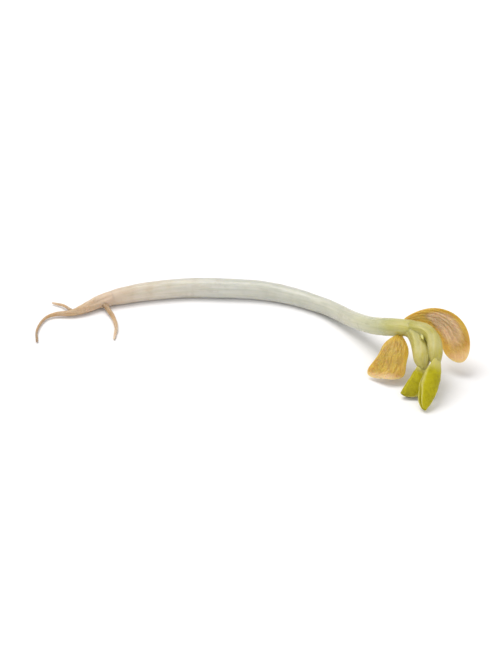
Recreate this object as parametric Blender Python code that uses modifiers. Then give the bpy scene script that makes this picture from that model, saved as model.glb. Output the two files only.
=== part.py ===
"""A mung bean sprout as picked, lying on its side, as separate solids in metres, +Z up.

The root end lies at -X and the green hook at +X, over a surface at z = 0. The stem and the root are tubes
whose radius changes along a smooth route, the two leaves are folded blades on short stalks, and the two
spent seed halves hang at the joint of the white stem and the green stalk.
"""

import math

import bmesh
import bpy
from mathutils import Vector

MM = 0.001
COLLECTION = "mung_bean_sprout"
CUTTERS = "cutters"

# The middle of the sprout's plan in the routes below, which is moved onto the origin.
PLAN_MIDDLE = Vector((1.20, -20.69, 0.0)) * MM

# Clear space along the axis between two organs that follow each other, so that each is a solid of its own.
# Their end faces lean towards each other on a bend, which leaves 0.3 mm on its inner side.
AXIS_GAP = 0.55 * MM

ROUTE_STEP = 1.1 * MM
WELD = 0.00001

# Organ sizes that do not follow from a route.
LEAF_LENGTH_CELLS = 14
LEAF_WIDTH_CELLS = 8
LEAF_THICKNESS = 0.34 * MM
LEAF_END_DEPTH = 0.12
LEAF_FULLNESS = 0.6
LEAF_END_WIDTH = 0.45
SEED_HALF_THICKNESS = 0.65 * MM
SEED_HALF_CUP = 0.9 * MM
SEED_HALF_NECK = 0.30
SMALLEST_RING = 0.001
BUD_LENGTH = 0.9 * MM
BUD_RADIUS = 0.22 * MM

# Routes: x, y, z and radius in millimetres. The axis runs from the root's tip to the fork of the leaf
# stalks, and its last station only sets the way that it points there. Between x = -20 and x = 10 its
# underside dips a tenth of a millimetre below the surface, where the soft stem is pressed flat.
AXIS_ROUTE = (
    (-31.5, -18.5, 0.30, 0.17),
    (-31.7, -14.6, 0.32, 0.19),
    (-30.6, -10.8, 0.42, 0.24),
    (-28.8, -9.8, 0.55, 0.35),
    (-26.4, -9.7, 0.72, 0.54),
    (-24.6, -8.6, 0.88, 0.78),
    (-22.7, -7.0, 1.05, 0.98),
    (-20.9, -5.95, 1.18, 1.16),
    (-18.6, -5.0, 1.28, 1.34),
    (-15.0, -3.8, 1.38, 1.50),
    (-9.0, -2.7, 1.46, 1.57),
    (-3.0, -2.9, 1.50, 1.60),
    (3.0, -3.5, 1.46, 1.56),
    (8.4, -5.7, 1.34, 1.40),
    (13.2, -9.4, 1.50, 1.27),
    (16.8, -14.7, 2.32, 1.26),
    (19.5, -19.5, 3.80, 1.30),
    (21.9, -23.0, 5.30, 1.38),
    (24.5, -25.1, 6.30, 1.30),
    (26.8, -26.8, 6.72, 1.26),
    (28.4, -28.8, 6.30, 1.22),
)
# The organs that follow each other along the axis, by the stations that each lies between.
TAPROOT_STATIONS = (0, 7)
HYPOCOTYL_STATIONS = (7, 17)
EPICOTYL_STATIONS = (17, 19)

LATERAL_ROOT_ROUTES = {
    "lateral_root_1": (
        (-21.35, -7.75, 0.85, 0.36),
        (-20.2, -10.4, 0.52, 0.32),
        (-19.5, -13.8, 0.36, 0.26),
        (-19.7, -17.6, 0.30, 0.17),
    ),
    "lateral_root_2": (
        (-26.9, -8.75, 0.72, 0.26),
        (-28.0, -6.9, 0.50, 0.22),
        (-29.9, -5.6, 0.32, 0.15),
    ),
}

# Each first leaf: its stalk's route, the three points that its midrib bends along, the way that its folded
# blade opens, how far the folded blade reaches from its midrib, half the width between its margins, and
# where along it the blade is widest.
FIRST_LEAVES = {
    "first_leaf_left": {
        "stalk": (
            (26.6, -28.15, 5.15, 0.78),
            (26.7, -29.2, 4.95, 1.10),
            (26.85, -30.5, 4.65, 1.22),
            (26.95, -31.8, 4.25, 1.10),
            (27.05, -33.0, 3.80, 0.74),
        ),
        "midrib": ((27.25, -32.5, 4.1), (24.8, -33.95, 3.05), (23.94, -35.5, 0.80)),
        "opens": (0.77, -0.30, -0.56),
        "depth": 2.9,
        "half_width": 0.80,
        "widest": 0.55,
    },
    "first_leaf_right": {
        "stalk": (
            (27.42, -27.19, 7.05, 0.75),
            (28.38, -28.51, 6.80, 0.85),
            (29.01, -30.29, 6.05, 0.93),
            (29.10, -31.83, 5.20, 0.92),
            (28.92, -33.13, 4.60, 0.75),
        ),
        "midrib": ((28.8, -33.0, 4.75), (29.8, -37.0, 2.7), (27.0, -40.0, 0.42)),
        "opens": (-0.94, -0.10, 0.30),
        "depth": 2.6,
        "half_width": 0.72,
        "widest": 0.52,
    },
}

# Each spent seed half: the three points that its long axis bends along, the way its hollow faces, half its
# width at its free end, how late along it that width is reached, how square its free end is, from 0, round,
# and how much further that end reaches on one side than in its middle.
SEED_HALVES = {
    "cotyledon_near": {
        "axis": ((23.6, -26.1, 5.0), (23.0, -28.8, 4.25), (20.9, -31.4, 1.25)),
        "hollow": (0.2, 0.5, -0.9),
        "half_width": 3.4,
        "taper": 1.0,
        "blunt": 0.4,
        "slant": 0.8,
    },
    "cotyledon_far": {
        "axis": ((24.3, -22.9, 7.0), (31.95, -20.6, 8.9), (33.15, -28.7, 2.2)),
        "hollow": (-0.35, -0.90, 0.30),
        "half_width": 3.2,
        "taper": 2.0,
        "blunt": 0.0,
        "slant": 0.0,
    },
}

# The shoot's bud: the middle of its ball.
BUD_PLACE = (26.75, -28.35, 6.55)


def clear_scene():
    """Removes every object of the file, such as the default cube."""
    for obj in list(bpy.data.objects):
        bpy.data.objects.remove(obj)


def make_collection(name):
    """A new collection in the scene."""
    collection = bpy.data.collections.new(name)
    bpy.context.scene.collection.children.link(collection)
    return collection


def make_material(name, colour, roughness):
    """A Principled BSDF material; plant tissue has no metal in it."""
    material = bpy.data.materials.new(name)
    material.use_nodes = True
    shader = material.node_tree.nodes["Principled BSDF"]
    shader.inputs["Base Color"].default_value = (*colour, 1.0)
    shader.inputs["Roughness"].default_value = roughness
    shader.inputs["Metallic"].default_value = 0.0
    return material


def to_row(point):
    """A route's point in millimetres as a place in the row frame, in metres."""
    return Vector(point) * MM - PLAN_MIDDLE


def smooth_route(stations, first=0, last=None):
    """Points about ROUTE_STEP apart, between two stations of a Catmull-Rom curve through all of them.

    Each point is a vector of four numbers in metres: its place, then the radius there as its w.
    """
    last = len(stations) - 1 if last is None else last
    knots = [Vector((*to_row(station[:3]), station[3] * MM)) for station in stations]
    knots = [2 * knots[0] - knots[1], *knots, 2 * knots[-1] - knots[-2]]
    points = []
    for before, start, end, after in list(zip(knots, knots[1:], knots[2:], knots[3:]))[first:last]:
        steps = max(2, round((end - start).length / ROUTE_STEP))
        for i in range(steps):
            t = i / steps
            points.append(
                0.5
                * (
                    2 * start
                    + (end - before) * t
                    + (2 * before - 5 * start + 4 * end - after) * t**2
                    + (3 * start - before - 3 * end + after) * t**3
                )
            )
    points.append(knots[last + 1])
    return points


def draw_back(points, start, end):
    """The route with its first or last point moved inwards by half the gap along the axis."""
    points = list(points)
    if start:
        inwards = (points[1] - points[0]).normalized()
        points[0] = points[0] + inwards * AXIS_GAP / 2
    if end:
        inwards = (points[-2] - points[-1]).normalized()
        points[-1] = points[-1] + inwards * AXIS_GAP / 2
    return points


def bend(controls, t):
    """The place and the direction at t on the quadratic curve of three control points."""
    first, middle, last = controls
    place = first * (1 - t) ** 2 + middle * (2 * t * (1 - t)) + last * t**2
    direction = (middle - first) * (1 - t) + (last - middle) * t
    return place, direction.normalized()


def square_to(direction, towards):
    """The unit vector nearest to one way that stands square to a direction."""
    towards = Vector(towards)
    return (towards - direction * towards.dot(direction)).normalized()


def make_tube(name, route, bevel_resolution, material, collection):
    """A filled tube along a route of places and radii, as a curve object."""
    curve = bpy.data.curves.new(name, "CURVE")
    curve.dimensions = "3D"
    curve.bevel_depth = MM
    curve.bevel_resolution = bevel_resolution
    curve.use_fill_caps = True
    spline = curve.splines.new("POLY")
    spline.points.add(len(route) - 1)
    spline.use_smooth = True
    for point, station in zip(spline.points, route):
        point.co = (*station.xyz, 1.0)
        point.radius = station.w / MM
    curve.materials.append(material)
    obj = bpy.data.objects.new(name, curve)
    collection.objects.link(obj)
    return obj


def tube_to_mesh(tube, collection):
    """The tube as a mesh object with its caps welded, so that a Boolean can cut or join it."""
    bpy.context.view_layer.update()
    name = tube.name
    mesh = bpy.data.meshes.new_from_object(tube.evaluated_get(bpy.context.evaluated_depsgraph_get()))
    cage = bmesh.new()
    cage.from_mesh(mesh)
    bmesh.ops.remove_doubles(cage, verts=cage.verts, dist=WELD)
    cage.to_mesh(mesh)
    cage.free()
    matrix = tube.matrix_world.copy()
    bpy.data.objects.remove(tube)
    obj = bpy.data.objects.new(name, mesh)
    obj.matrix_world = matrix
    collection.objects.link(obj)
    return obj


def shade(obj):
    """Smooth shading that keeps the edges of caps and flats sharp."""
    obj.data.shade_smooth()
    obj.data.set_sharp_from_angle(angle=math.radians(40))


def add_boolean(obj, other, operation):
    """A live Boolean of another object on this one."""
    modifier = obj.modifiers.new(operation.lower(), "BOOLEAN")
    modifier.operation = operation
    modifier.object = other


def make_hidden(obj):
    """Marks a cutter or a joined shape, which the build leaves out."""
    obj.hide_render = True
    obj.display_type = "WIRE"


def make_floor_cutter(collection):
    """A block whose top is the surface that the sprout lies on."""
    size = Vector((80, 60, 4)) * MM
    bpy.ops.mesh.primitive_cube_add(size=1, location=(0, 0, -size.z / 2))
    cutter = bpy.context.object
    cutter.name = "surface"
    cutter.dimensions = size
    bpy.context.view_layer.update()
    bpy.ops.object.transform_apply(location=False, rotation=False, scale=True)
    for owner in list(cutter.users_collection):
        owner.objects.unlink(cutter)
    collection.objects.link(cutter)
    make_hidden(cutter)
    return cutter


def make_blade(name, leaf, collection):
    """A leaf blade folded along its midrib: a grid whose cross-sections are halves of an ellipse.

    Its breadth follows sin(pi * along^k)^fullness, an egg shape whose k sets where it is widest. At its ends
    the blade keeps a part of its depth and more of its width, so the fold is never sharper than it is thick.
    """
    controls = [to_row(point) for point in leaf["midrib"]]
    skew = math.log(0.5) / math.log(leaf["widest"])
    cage = bmesh.new()
    bmesh.ops.create_grid(cage, x_segments=LEAF_WIDTH_CELLS, y_segments=LEAF_LENGTH_CELLS, size=1)
    for vertex in cage.verts:
        turn = vertex.co.x * math.pi / 2
        along = (vertex.co.y + 1) / 2
        share = max(0.0, math.sin(math.pi * along**skew)) ** LEAF_FULLNESS
        place, tangent = bend(controls, along)
        opening = square_to(tangent, leaf["opens"])
        crossing = tangent.cross(opening)
        depth = leaf["depth"] * MM * (LEAF_END_DEPTH + (1 - LEAF_END_DEPTH) * share)
        half_width = leaf["half_width"] * MM * (LEAF_END_WIDTH + (1 - LEAF_END_WIDTH) * share)
        vertex.co = place + opening * depth * (1 - math.cos(turn)) + crossing * half_width * math.sin(turn)
    mesh = bpy.data.meshes.new(name)
    cage.to_mesh(mesh)
    cage.free()
    obj = bpy.data.objects.new(name, mesh)
    collection.objects.link(obj)
    thickness = obj.modifiers.new("thickness", "SOLIDIFY")
    thickness.thickness = LEAF_THICKNESS
    thickness.offset = 0.0
    return obj


def make_leaf(name, leaf, material, parts, cutters):
    """A first leaf: its folded blade joined with its stalk."""
    blade = make_blade(name, leaf, parts)
    blade.data.materials.append(material)
    stalk = make_tube(name + "_stalk", smooth_route(leaf["stalk"]), 2, material, cutters)
    stalk = tube_to_mesh(stalk, cutters)
    make_hidden(stalk)
    add_boolean(blade, stalk, "UNION")
    return blade


def seed_half_width(along, taper):
    """The seed half's width at a share of its length, against its greatest: narrow where it is held."""
    return SEED_HALF_NECK + (1 - SEED_HALF_NECK) * math.sin(math.pi * 0.5 * along) ** taper


def make_seed_half(name, seed_half, material, collection):
    """A spent seed half: a ball drawn out along a bent axis and cupped across it.

    Towards a blunt free end the rings are widened by a power of their size, which squares the corners.
    """
    controls = [to_row(point) for point in seed_half["axis"]]
    cage = bmesh.new()
    bmesh.ops.create_uvsphere(cage, u_segments=18, v_segments=12, radius=1)
    for vertex in cage.verts:
        across, thick, length = vertex.co
        along = (length + 1) / 2
        place, tangent = bend(controls, along)
        hollow = square_to(tangent, seed_half["hollow"])
        side = hollow.cross(tangent)
        ring = max(math.hypot(across, thick), SMALLEST_RING)
        across /= ring ** (seed_half["blunt"] * along**2)
        width = seed_half["half_width"] * MM * seed_half_width(along, seed_half["taper"])
        reach = seed_half["slant"] * MM * across * along**2
        rise = SEED_HALF_CUP * across**2 * along + SEED_HALF_THICKNESS * thick
        vertex.co = place + side * (across * width) + hollow * rise + tangent * reach
    mesh = bpy.data.meshes.new(name)
    cage.to_mesh(mesh)
    cage.free()
    mesh.materials.append(material)
    obj = bpy.data.objects.new(name, mesh)
    collection.objects.link(obj)
    shade(obj)
    return obj


def make_bud(material, collection):
    """The shoot's bud: a small ball drawn out to a point, in the fork of the two leaf stalks."""
    end, before = to_row(AXIS_ROUTE[-1][:3]), to_row(AXIS_ROUTE[-2][:3])
    direction = (end - before).normalized()
    bpy.ops.mesh.primitive_uv_sphere_add(segments=12, ring_count=8, radius=1)
    bud = bpy.context.object
    bud.name = "shoot_bud"
    bud.scale = (BUD_RADIUS, BUD_RADIUS, BUD_LENGTH / 2)
    bud.rotation_mode = "QUATERNION"
    bud.rotation_quaternion = direction.to_track_quat("Z", "Y")
    bud.location = to_row(BUD_PLACE)
    bud.data.materials.append(material)
    for owner in list(bud.users_collection):
        owner.objects.unlink(bud)
    collection.objects.link(bud)
    shade(bud)
    return bud


def build():
    """Makes every organ of the sprout in its own named object."""
    clear_scene()
    parts = make_collection(COLLECTION)
    cutters = make_collection(CUTTERS)

    white_stem = make_material("white_stem", (0.66, 0.65, 0.57), 0.34)
    green_stalk = make_material("green_stalk", (0.58, 0.60, 0.20), 0.36)
    leaf_green = make_material("leaf_green", (0.38, 0.40, 0.03), 0.48)
    seed_amber = make_material("seed_amber", (0.52, 0.34, 0.10), 0.42)
    root_tan = make_material("root_tan", (0.62, 0.44, 0.27), 0.50)

    taproot_route = draw_back(smooth_route(AXIS_ROUTE, *TAPROOT_STATIONS), start=False, end=True)
    hypocotyl_route = draw_back(smooth_route(AXIS_ROUTE, *HYPOCOTYL_STATIONS), start=True, end=True)
    epicotyl_route = draw_back(smooth_route(AXIS_ROUTE, *EPICOTYL_STATIONS), start=True, end=False)

    make_tube("taproot", taproot_route, 4, root_tan, parts)
    make_tube("epicotyl", epicotyl_route, 5, green_stalk, parts)
    hypocotyl = tube_to_mesh(make_tube("hypocotyl", hypocotyl_route, 6, white_stem, parts), parts)
    add_boolean(hypocotyl, make_floor_cutter(cutters), "DIFFERENCE")
    shade(hypocotyl)

    for name, route in LATERAL_ROOT_ROUTES.items():
        make_tube(name, smooth_route(route), 2, root_tan, parts)
    for name, leaf in FIRST_LEAVES.items():
        make_leaf(name, leaf, leaf_green, parts, cutters)
    for name, seed_half in SEED_HALVES.items():
        make_seed_half(name, seed_half, seed_amber, parts)
    make_bud(green_stalk, parts)


build()
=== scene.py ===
"""The looks of a mung bean sprout lying on its side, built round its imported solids.

Every organ is a closed skin worked out on a grid: rows run along the organ and columns run round it. The
classes keep their sizes in millimetres, in the routes' own frame, and a skin becomes metres in the row frame
when it turns into a mesh.
"""

import sys

import logging
import math
from dataclasses import dataclass
from enum import Enum

import bpy
import numpy as np
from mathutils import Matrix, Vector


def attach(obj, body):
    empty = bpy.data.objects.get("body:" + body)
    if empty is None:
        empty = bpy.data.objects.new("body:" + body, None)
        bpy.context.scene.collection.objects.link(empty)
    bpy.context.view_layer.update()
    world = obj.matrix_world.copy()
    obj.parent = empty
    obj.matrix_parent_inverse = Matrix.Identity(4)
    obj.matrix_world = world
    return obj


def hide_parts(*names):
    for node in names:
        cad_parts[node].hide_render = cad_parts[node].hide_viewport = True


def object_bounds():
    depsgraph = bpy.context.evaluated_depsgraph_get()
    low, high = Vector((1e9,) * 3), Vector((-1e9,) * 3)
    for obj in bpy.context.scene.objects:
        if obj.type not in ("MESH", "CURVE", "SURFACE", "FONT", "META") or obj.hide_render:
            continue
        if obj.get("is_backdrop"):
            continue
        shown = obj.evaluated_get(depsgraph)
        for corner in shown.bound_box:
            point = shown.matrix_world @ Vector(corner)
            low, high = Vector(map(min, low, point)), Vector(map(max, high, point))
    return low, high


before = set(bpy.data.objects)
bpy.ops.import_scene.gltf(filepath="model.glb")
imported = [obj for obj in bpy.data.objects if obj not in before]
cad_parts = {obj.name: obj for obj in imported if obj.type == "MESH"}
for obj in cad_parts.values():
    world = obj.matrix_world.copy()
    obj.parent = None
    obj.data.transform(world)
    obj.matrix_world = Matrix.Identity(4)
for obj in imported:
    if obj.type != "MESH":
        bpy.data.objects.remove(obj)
CAD_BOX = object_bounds()

Array = np.ndarray
Colour = tuple[float, float, float]
Station = tuple[float, float, float, float]
Point = tuple[float, float, float]
Socket = bpy.types.NodeSocket
# The count, depth and wander of each set of lengthwise ribs.
Ribs = tuple[tuple[int, float, float], ...]
# The place and colour of each stop of a ramp.
Stops = tuple[tuple[float, Colour], ...]
# Heights of a surface, each with its depth in millimetres.
Heights = list[tuple[object, float]]

LOG = logging.getLogger("sprout")
MM = 0.001
BODY = "root"

# How many spreads from its middle a bell counts as nothing.
BELL_REACH = 4
# The least size that a power or a share is taken of, which keeps poles finite.
TINY = 1e-6
# How much watery plant tissue bends light.
TISSUE_IOR = 1.42

# The middle of the sprout's plan in the routes below, which the part's source moves onto the origin.
PLAN_MIDDLE = np.array((1.20, -20.69, 0.0))

# Routes: x, y, z and radius in millimetres, as in the part's source.
AXIS_STATIONS: tuple[Station, ...] = (
    (-31.5, -18.5, 0.30, 0.17),
    (-31.7, -14.6, 0.32, 0.19),
    (-30.6, -10.8, 0.42, 0.24),
    (-28.8, -9.8, 0.55, 0.35),
    (-26.4, -9.7, 0.72, 0.54),
    (-24.6, -8.6, 0.88, 0.78),
    (-22.7, -7.0, 1.05, 0.98),
    (-20.9, -5.95, 1.18, 1.16),
    (-18.6, -5.0, 1.28, 1.34),
    (-15.0, -3.8, 1.38, 1.50),
    (-9.0, -2.7, 1.46, 1.57),
    (-3.0, -2.9, 1.50, 1.60),
    (3.0, -3.5, 1.46, 1.56),
    (8.4, -5.7, 1.34, 1.40),
    (13.2, -9.4, 1.50, 1.27),
    (16.8, -14.7, 2.32, 1.26),
    (19.5, -19.5, 3.80, 1.30),
    (21.9, -23.0, 5.30, 1.38),
    (24.5, -25.1, 6.30, 1.30),
    (26.8, -26.8, 6.72, 1.26),
    (28.4, -28.8, 6.30, 1.22),
)
# The stations that organs meet at: the root's tip, the collar, the seed halves' joint and the fork.
ROOT_TIP, COLLAR, SEED_JOINT, FORK = 0, 7, 17, 19

# How far the root's skin reaches into the stem, and the green stalk's, so that no gap shows.
ROOT_OVERLAP = 0.6
STALK_OVERLAP = 0.9


class Slot(Enum):
    """The record's material slots."""

    WHITE_STEM = "white_stem"
    GREEN_STALK = "green_stalk"
    LEAF_GREEN = "leaf_green"
    SEED_AMBER = "seed_amber"
    ROOT_TAN = "root_tan"


class Mark(Enum):
    """Values that a skin carries for its material."""

    SKIN = "skin_place"
    ALONG = "along"
    RIM = "rim"
    VEIN = "vein"
    CREASE = "crease"
    HOLLOW = "hollow"


# ---------------------------------------------------------------------------------------------------------
# Number helpers
# ---------------------------------------------------------------------------------------------------------


def unit(vectors: Array) -> Array:
    """Vectors divided by their lengths, for an array whose last axis is x, y and z."""
    return vectors / np.linalg.norm(vectors, axis=-1, keepdims=True)


def bell(value: Array, middle: float, spread: float) -> Array:
    """exp(-((value - middle) / spread)^2), which is 1 at the middle and fades on both sides."""
    return np.exp(-(((value - middle) / spread) ** 2))


def smooth_step(value: Array, low: float, high: float) -> Array:
    """3t^2 - 2t^3 of the value's share t between low and high, clipped to 0 and 1."""
    share = np.clip((value - low) / (high - low), 0.0, 1.0)
    return share * share * (3 - 2 * share)


@dataclass(frozen=True)
class Waves:
    """Smooth seeded unevenness: the scaled sum of sine waves that run in random directions.

    Attributes:
        seed: the seed of the random directions and phases.
        pace: radians per unit of each coordinate, for a wave of middling length.
        count: how many waves are added.
        spread: the least and the greatest pace of a wave, against the middling one.
    """

    seed: int
    pace: tuple[float, ...]
    count: int = 12
    spread: tuple[float, float] = (0.6, 1.6)

    def at(self, *coordinates: Array) -> Array:
        """sum(sin(k . p + phase)) * sqrt(2 / count), with one k and phase to a wave.

        Args:
            coordinates: as many arrays as there are paces, in shapes that broadcast.

        Returns:
            The sum, whose usual size is 1.
        """
        draw = np.random.default_rng(self.seed)
        heading = draw.normal(size=(self.count, len(self.pace)))
        heading /= np.linalg.norm(heading, axis=1, keepdims=True)
        length = draw.uniform(*self.spread, size=(self.count, 1))
        paces = heading * length * np.array(self.pace) * math.sqrt(len(self.pace))
        phases = draw.uniform(0, 2 * math.pi, size=self.count)
        total = 0.0
        for pace, phase in zip(paces, phases):
            turn = sum(step * place for step, place in zip(pace, coordinates))
            total = total + np.sin(turn + phase)
        return total * math.sqrt(2 / self.count)

    def folds(self, sharpness: float, *coordinates: Array) -> Array:
        """exp(-(sharpness * waves)^2): narrow winding lines where the waves cross zero."""
        return np.exp(-((sharpness * self.at(*coordinates)) ** 2))


def soften(values: Array, spread: float) -> Array:
    """Each column averaged along its rows under a bell curve; point reflection at the ends keeps them put.

    Args:
        values: rows of values.
        spread: the bell's spread, in rows.

    Returns:
        The softened rows, in the same shape.
    """
    reach = min(int(BELL_REACH * spread), len(values) - 2)
    kernel = np.exp(-0.5 * (np.arange(-reach, reach + 1) / spread) ** 2)
    head = 2 * values[0] - values[reach:0:-1]
    tail = 2 * values[-1] - values[-2 : -reach - 2 : -1]
    padded = np.vstack([head, values, tail])
    return np.stack([np.convolve(column, kernel / kernel.sum(), "valid") for column in padded.T], axis=1)


def pick_rows(values: Array, gone: Array, wanted: Array) -> Array:
    """Rows read off at wanted distances, by straight lines between the rows at the distances gone."""
    return np.stack([np.interp(wanted, gone, column) for column in values.T], axis=1)


# ---------------------------------------------------------------------------------------------------------
# Routes and skins
# ---------------------------------------------------------------------------------------------------------


@dataclass(frozen=True)
class Path:
    """Rows along a route.

    Attributes:
        places: where each row is.
        radii: the radius there.
        sides: the level direction square to the route.
        aboves: the direction square to both.
    """

    places: Array
    radii: Array
    sides: Array
    aboves: Array

    def rings(self, radius: Array, angle: Array) -> Array:
        """place + radius * (side * cos(angle) + above * sin(angle)), for rows of rings.

        Args:
            radius: rows x columns, in millimetres.
            angle: 1 x columns, in radians.

        Returns:
            rows x columns x 3 points.
        """
        across = (radius * np.cos(angle))[..., None] * self.sides[:, None]
        upward = (radius * np.sin(angle))[..., None] * self.aboves[:, None]
        return self.places[:, None] + across + upward


@dataclass(frozen=True)
class Route:
    """A smooth line through stations of place and radius.

    Attributes:
        stations: x, y, z and radius of each station.
        softness: the spread that rounds off the line's changes of bend, in millimetres.
        upright: the direction that the top of each ring looks to.
        step: the distance between the line's points, in millimetres.
        span_samples: how many points the curve has between two stations before it is evenly cut.
    """

    stations: tuple[Station, ...]
    softness: float = 0.5
    upright: Point = (0.0, 0.0, 1.0)
    step: float = 0.04
    span_samples: int = 60

    def line(self) -> tuple[Array, Array, Array]:
        """A Catmull-Rom curve through the stations, evenly cut and softened.

        Between stations b and c, with a before and d after, it is half of
        2b + (c - a) t + (2a - 5b + 4c - d) t^2 + (3b - a - 3c + d) t^3.

        Returns:
            The distances gone, the places and radii there, and the distance of each station.
        """
        knots = np.array(self.stations)
        knots = np.vstack([2 * knots[0] - knots[1], knots, 2 * knots[-1] - knots[-2]])
        a, b, c, d = knots[:-3], knots[1:-2], knots[2:-1], knots[3:]
        t = np.linspace(0, 1, self.span_samples, endpoint=False)[:, None, None]
        bend, twist = 2 * a - 5 * b + 4 * c - d, 3 * b - a - 3 * c + d
        spans = 0.5 * (2 * b + (c - a) * t + bend * t**2 + twist * t**3)
        curve = np.vstack([spans.transpose(1, 0, 2).reshape(-1, 4), knots[-2:-1]])
        gone = np.concatenate([[0.0], np.cumsum(np.linalg.norm(np.diff(curve[:, :3], axis=0), axis=1))])
        even = np.linspace(0, gone[-1], int(gone[-1] / self.step) + 1)
        rows = soften(pick_rows(curve, gone, even), self.softness / self.step)
        return even, rows, gone[:: self.span_samples]

    def path(self, first: int, last: int, margins: tuple[float, float], shares: Array) -> Path:
        """The rows of a stretch of the route.

        Args:
            first: the station that the stretch starts at.
            last: the station that it ends at.
            margins: how far it starts after the first station and ends before the last.
            shares: the rows' places along the stretch, from 0 to 1.

        Returns:
            The path.
        """
        even, curve, stations = self.line()
        start, end = stations[first] + margins[0], stations[last] - margins[1]
        wanted = start + (end - start) * shares
        outside = np.clip(wanted, even[0], even[-1])
        tangent = unit(np.gradient(curve[:, :3], even, axis=0))
        rows = pick_rows(curve, even, outside)
        tangents = unit(pick_rows(tangent, even, outside))
        places = rows[:, :3] + tangents * (wanted - outside)[:, None]
        sides = unit(np.cross(np.array(self.upright), tangents))
        return Path(places, rows[:, 3], sides, np.cross(tangents, sides))

    def length(self, first: int, last: int) -> float:
        """The distance between two stations."""
        stations = self.line()[2]
        return float(stations[last] - stations[first])


def capped_shares(length: float, caps: tuple[float, float], rows: int, cap_rows: int) -> tuple[Array, Array]:
    """Row places along a stretch with rounded ends, and how wide each row is.

    In a cap of length c the rows are at c (1 - cos(turn)) from the end and sin(turn) wide, a quarter ellipse.

    Args:
        length: the stretch's length.
        caps: the lengths of the rounded starts and ends.
        rows: how many rows lie between the caps.
        cap_rows: how many rows a cap has.

    Returns:
        The rows' shares of the length, and their widths as shares of the whole width.
    """
    turn = np.linspace(0, math.pi / 2, cap_rows, endpoint=False)
    start = caps[0] * (1 - np.cos(turn))
    end = length - caps[1] * (1 - np.cos(turn[::-1]))
    body = np.linspace(caps[0], length - caps[1], rows)
    widths = np.concatenate([np.sin(turn), np.ones(rows), np.sin(turn[::-1])])
    return np.concatenate([start, body, end]) / length, widths


@dataclass(frozen=True)
class Skin:
    """A closed surface on a grid, which comes to a point at its first and last rows.

    Attributes:
        points: rows x columns x 3, in millimetres. Columns run anticlockwise seen from the last row.
        marks: rows x columns values, or rows x columns x 3, that the material reads.
    """

    points: Array
    marks: dict[Mark, Array]

    @staticmethod
    def _flat(grid: Array) -> Array:
        """The grid as a list: the first row's mean, the rows between, and the last row's mean."""
        tail = grid.shape[2:]
        return np.concatenate([grid[:1].mean(axis=1), grid[1:-1].reshape(-1, *tail), grid[-1:].mean(axis=1)])

    def _corners(self) -> tuple[Array, Array]:
        """The faces: four corners to a cell of the grid, and three to a cell at either point.

        Returns:
            The corners, one face after another, and where each face starts.
        """
        rows, columns = self.points.shape[0] - 2, self.points.shape[1]
        index = 1 + np.arange(rows * columns).reshape(rows, columns)
        turned = np.roll(index, -1, axis=1)
        quads = np.stack([index[:-1], turned[:-1], turned[1:], index[1:]], axis=-1).reshape(-1)
        low = np.stack([np.zeros(columns, int), turned[0], index[0]], axis=-1).reshape(-1)
        high = np.stack([np.full(columns, rows * columns + 1), index[-1], turned[-1]], axis=-1).reshape(-1)
        sides = np.concatenate([np.full(len(quads) // 4, 4), np.full(2 * columns, 3)])
        starts = np.concatenate([[0], np.cumsum(sides)[:-1]])
        return np.concatenate([quads, low, high]), starts

    def mesh(self, name: str) -> bpy.types.Mesh:
        """The skin as a mesh in metres, in the row frame and never below it, with its marks as attributes.

        Args:
            name: the mesh's name.

        Returns:
            The mesh.
        """
        places = (self._flat(self.points) - PLAN_MIDDLE) * MM
        places[:, 2] = np.maximum(places[:, 2], 0.0)
        corners, starts = self._corners()
        mesh = bpy.data.meshes.new(name)
        mesh.vertices.add(len(places))
        mesh.vertices.foreach_set("co", places.astype(np.float32).ravel())
        mesh.loops.add(len(corners))
        mesh.loops.foreach_set("vertex_index", corners.astype(np.int32))
        mesh.polygons.add(len(starts))
        mesh.polygons.foreach_set("loop_start", starts.astype(np.int32))
        mesh.update(calc_edges=True)
        for mark, values in self.marks.items():
            flat = self._flat(values)
            kind, key = ("FLOAT_VECTOR", "vector") if flat.ndim == 2 else ("FLOAT", "value")
            attribute = mesh.attributes.new(mark.value, kind, "POINT")
            attribute.data.foreach_set(key, flat.astype(np.float32).ravel())
        mesh.shade_smooth()
        return mesh

    def piece(self, name: str, material: bpy.types.Material, slot: Slot, *nodes: str) -> bpy.types.Object:
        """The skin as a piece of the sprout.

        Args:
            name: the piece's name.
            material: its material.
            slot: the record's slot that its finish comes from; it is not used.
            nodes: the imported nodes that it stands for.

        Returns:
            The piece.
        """
        mesh = self.mesh(name)
        mesh.materials.append(material)
        piece = bpy.data.objects.new(name, mesh)
        bpy.context.scene.collection.objects.link(piece)
        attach(piece, BODY)
        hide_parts(*nodes)
        LOG.info("%s: %d faces, for %s", name, len(mesh.polygons), ", ".join(nodes))
        return piece


def around(columns: int) -> Array:
    """1 x columns angles that go once round."""
    return np.linspace(0, 2 * math.pi, columns, endpoint=False)[None, :]


# ---------------------------------------------------------------------------------------------------------
# Tube organs: stem, stalks and roots
# ---------------------------------------------------------------------------------------------------------


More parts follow.
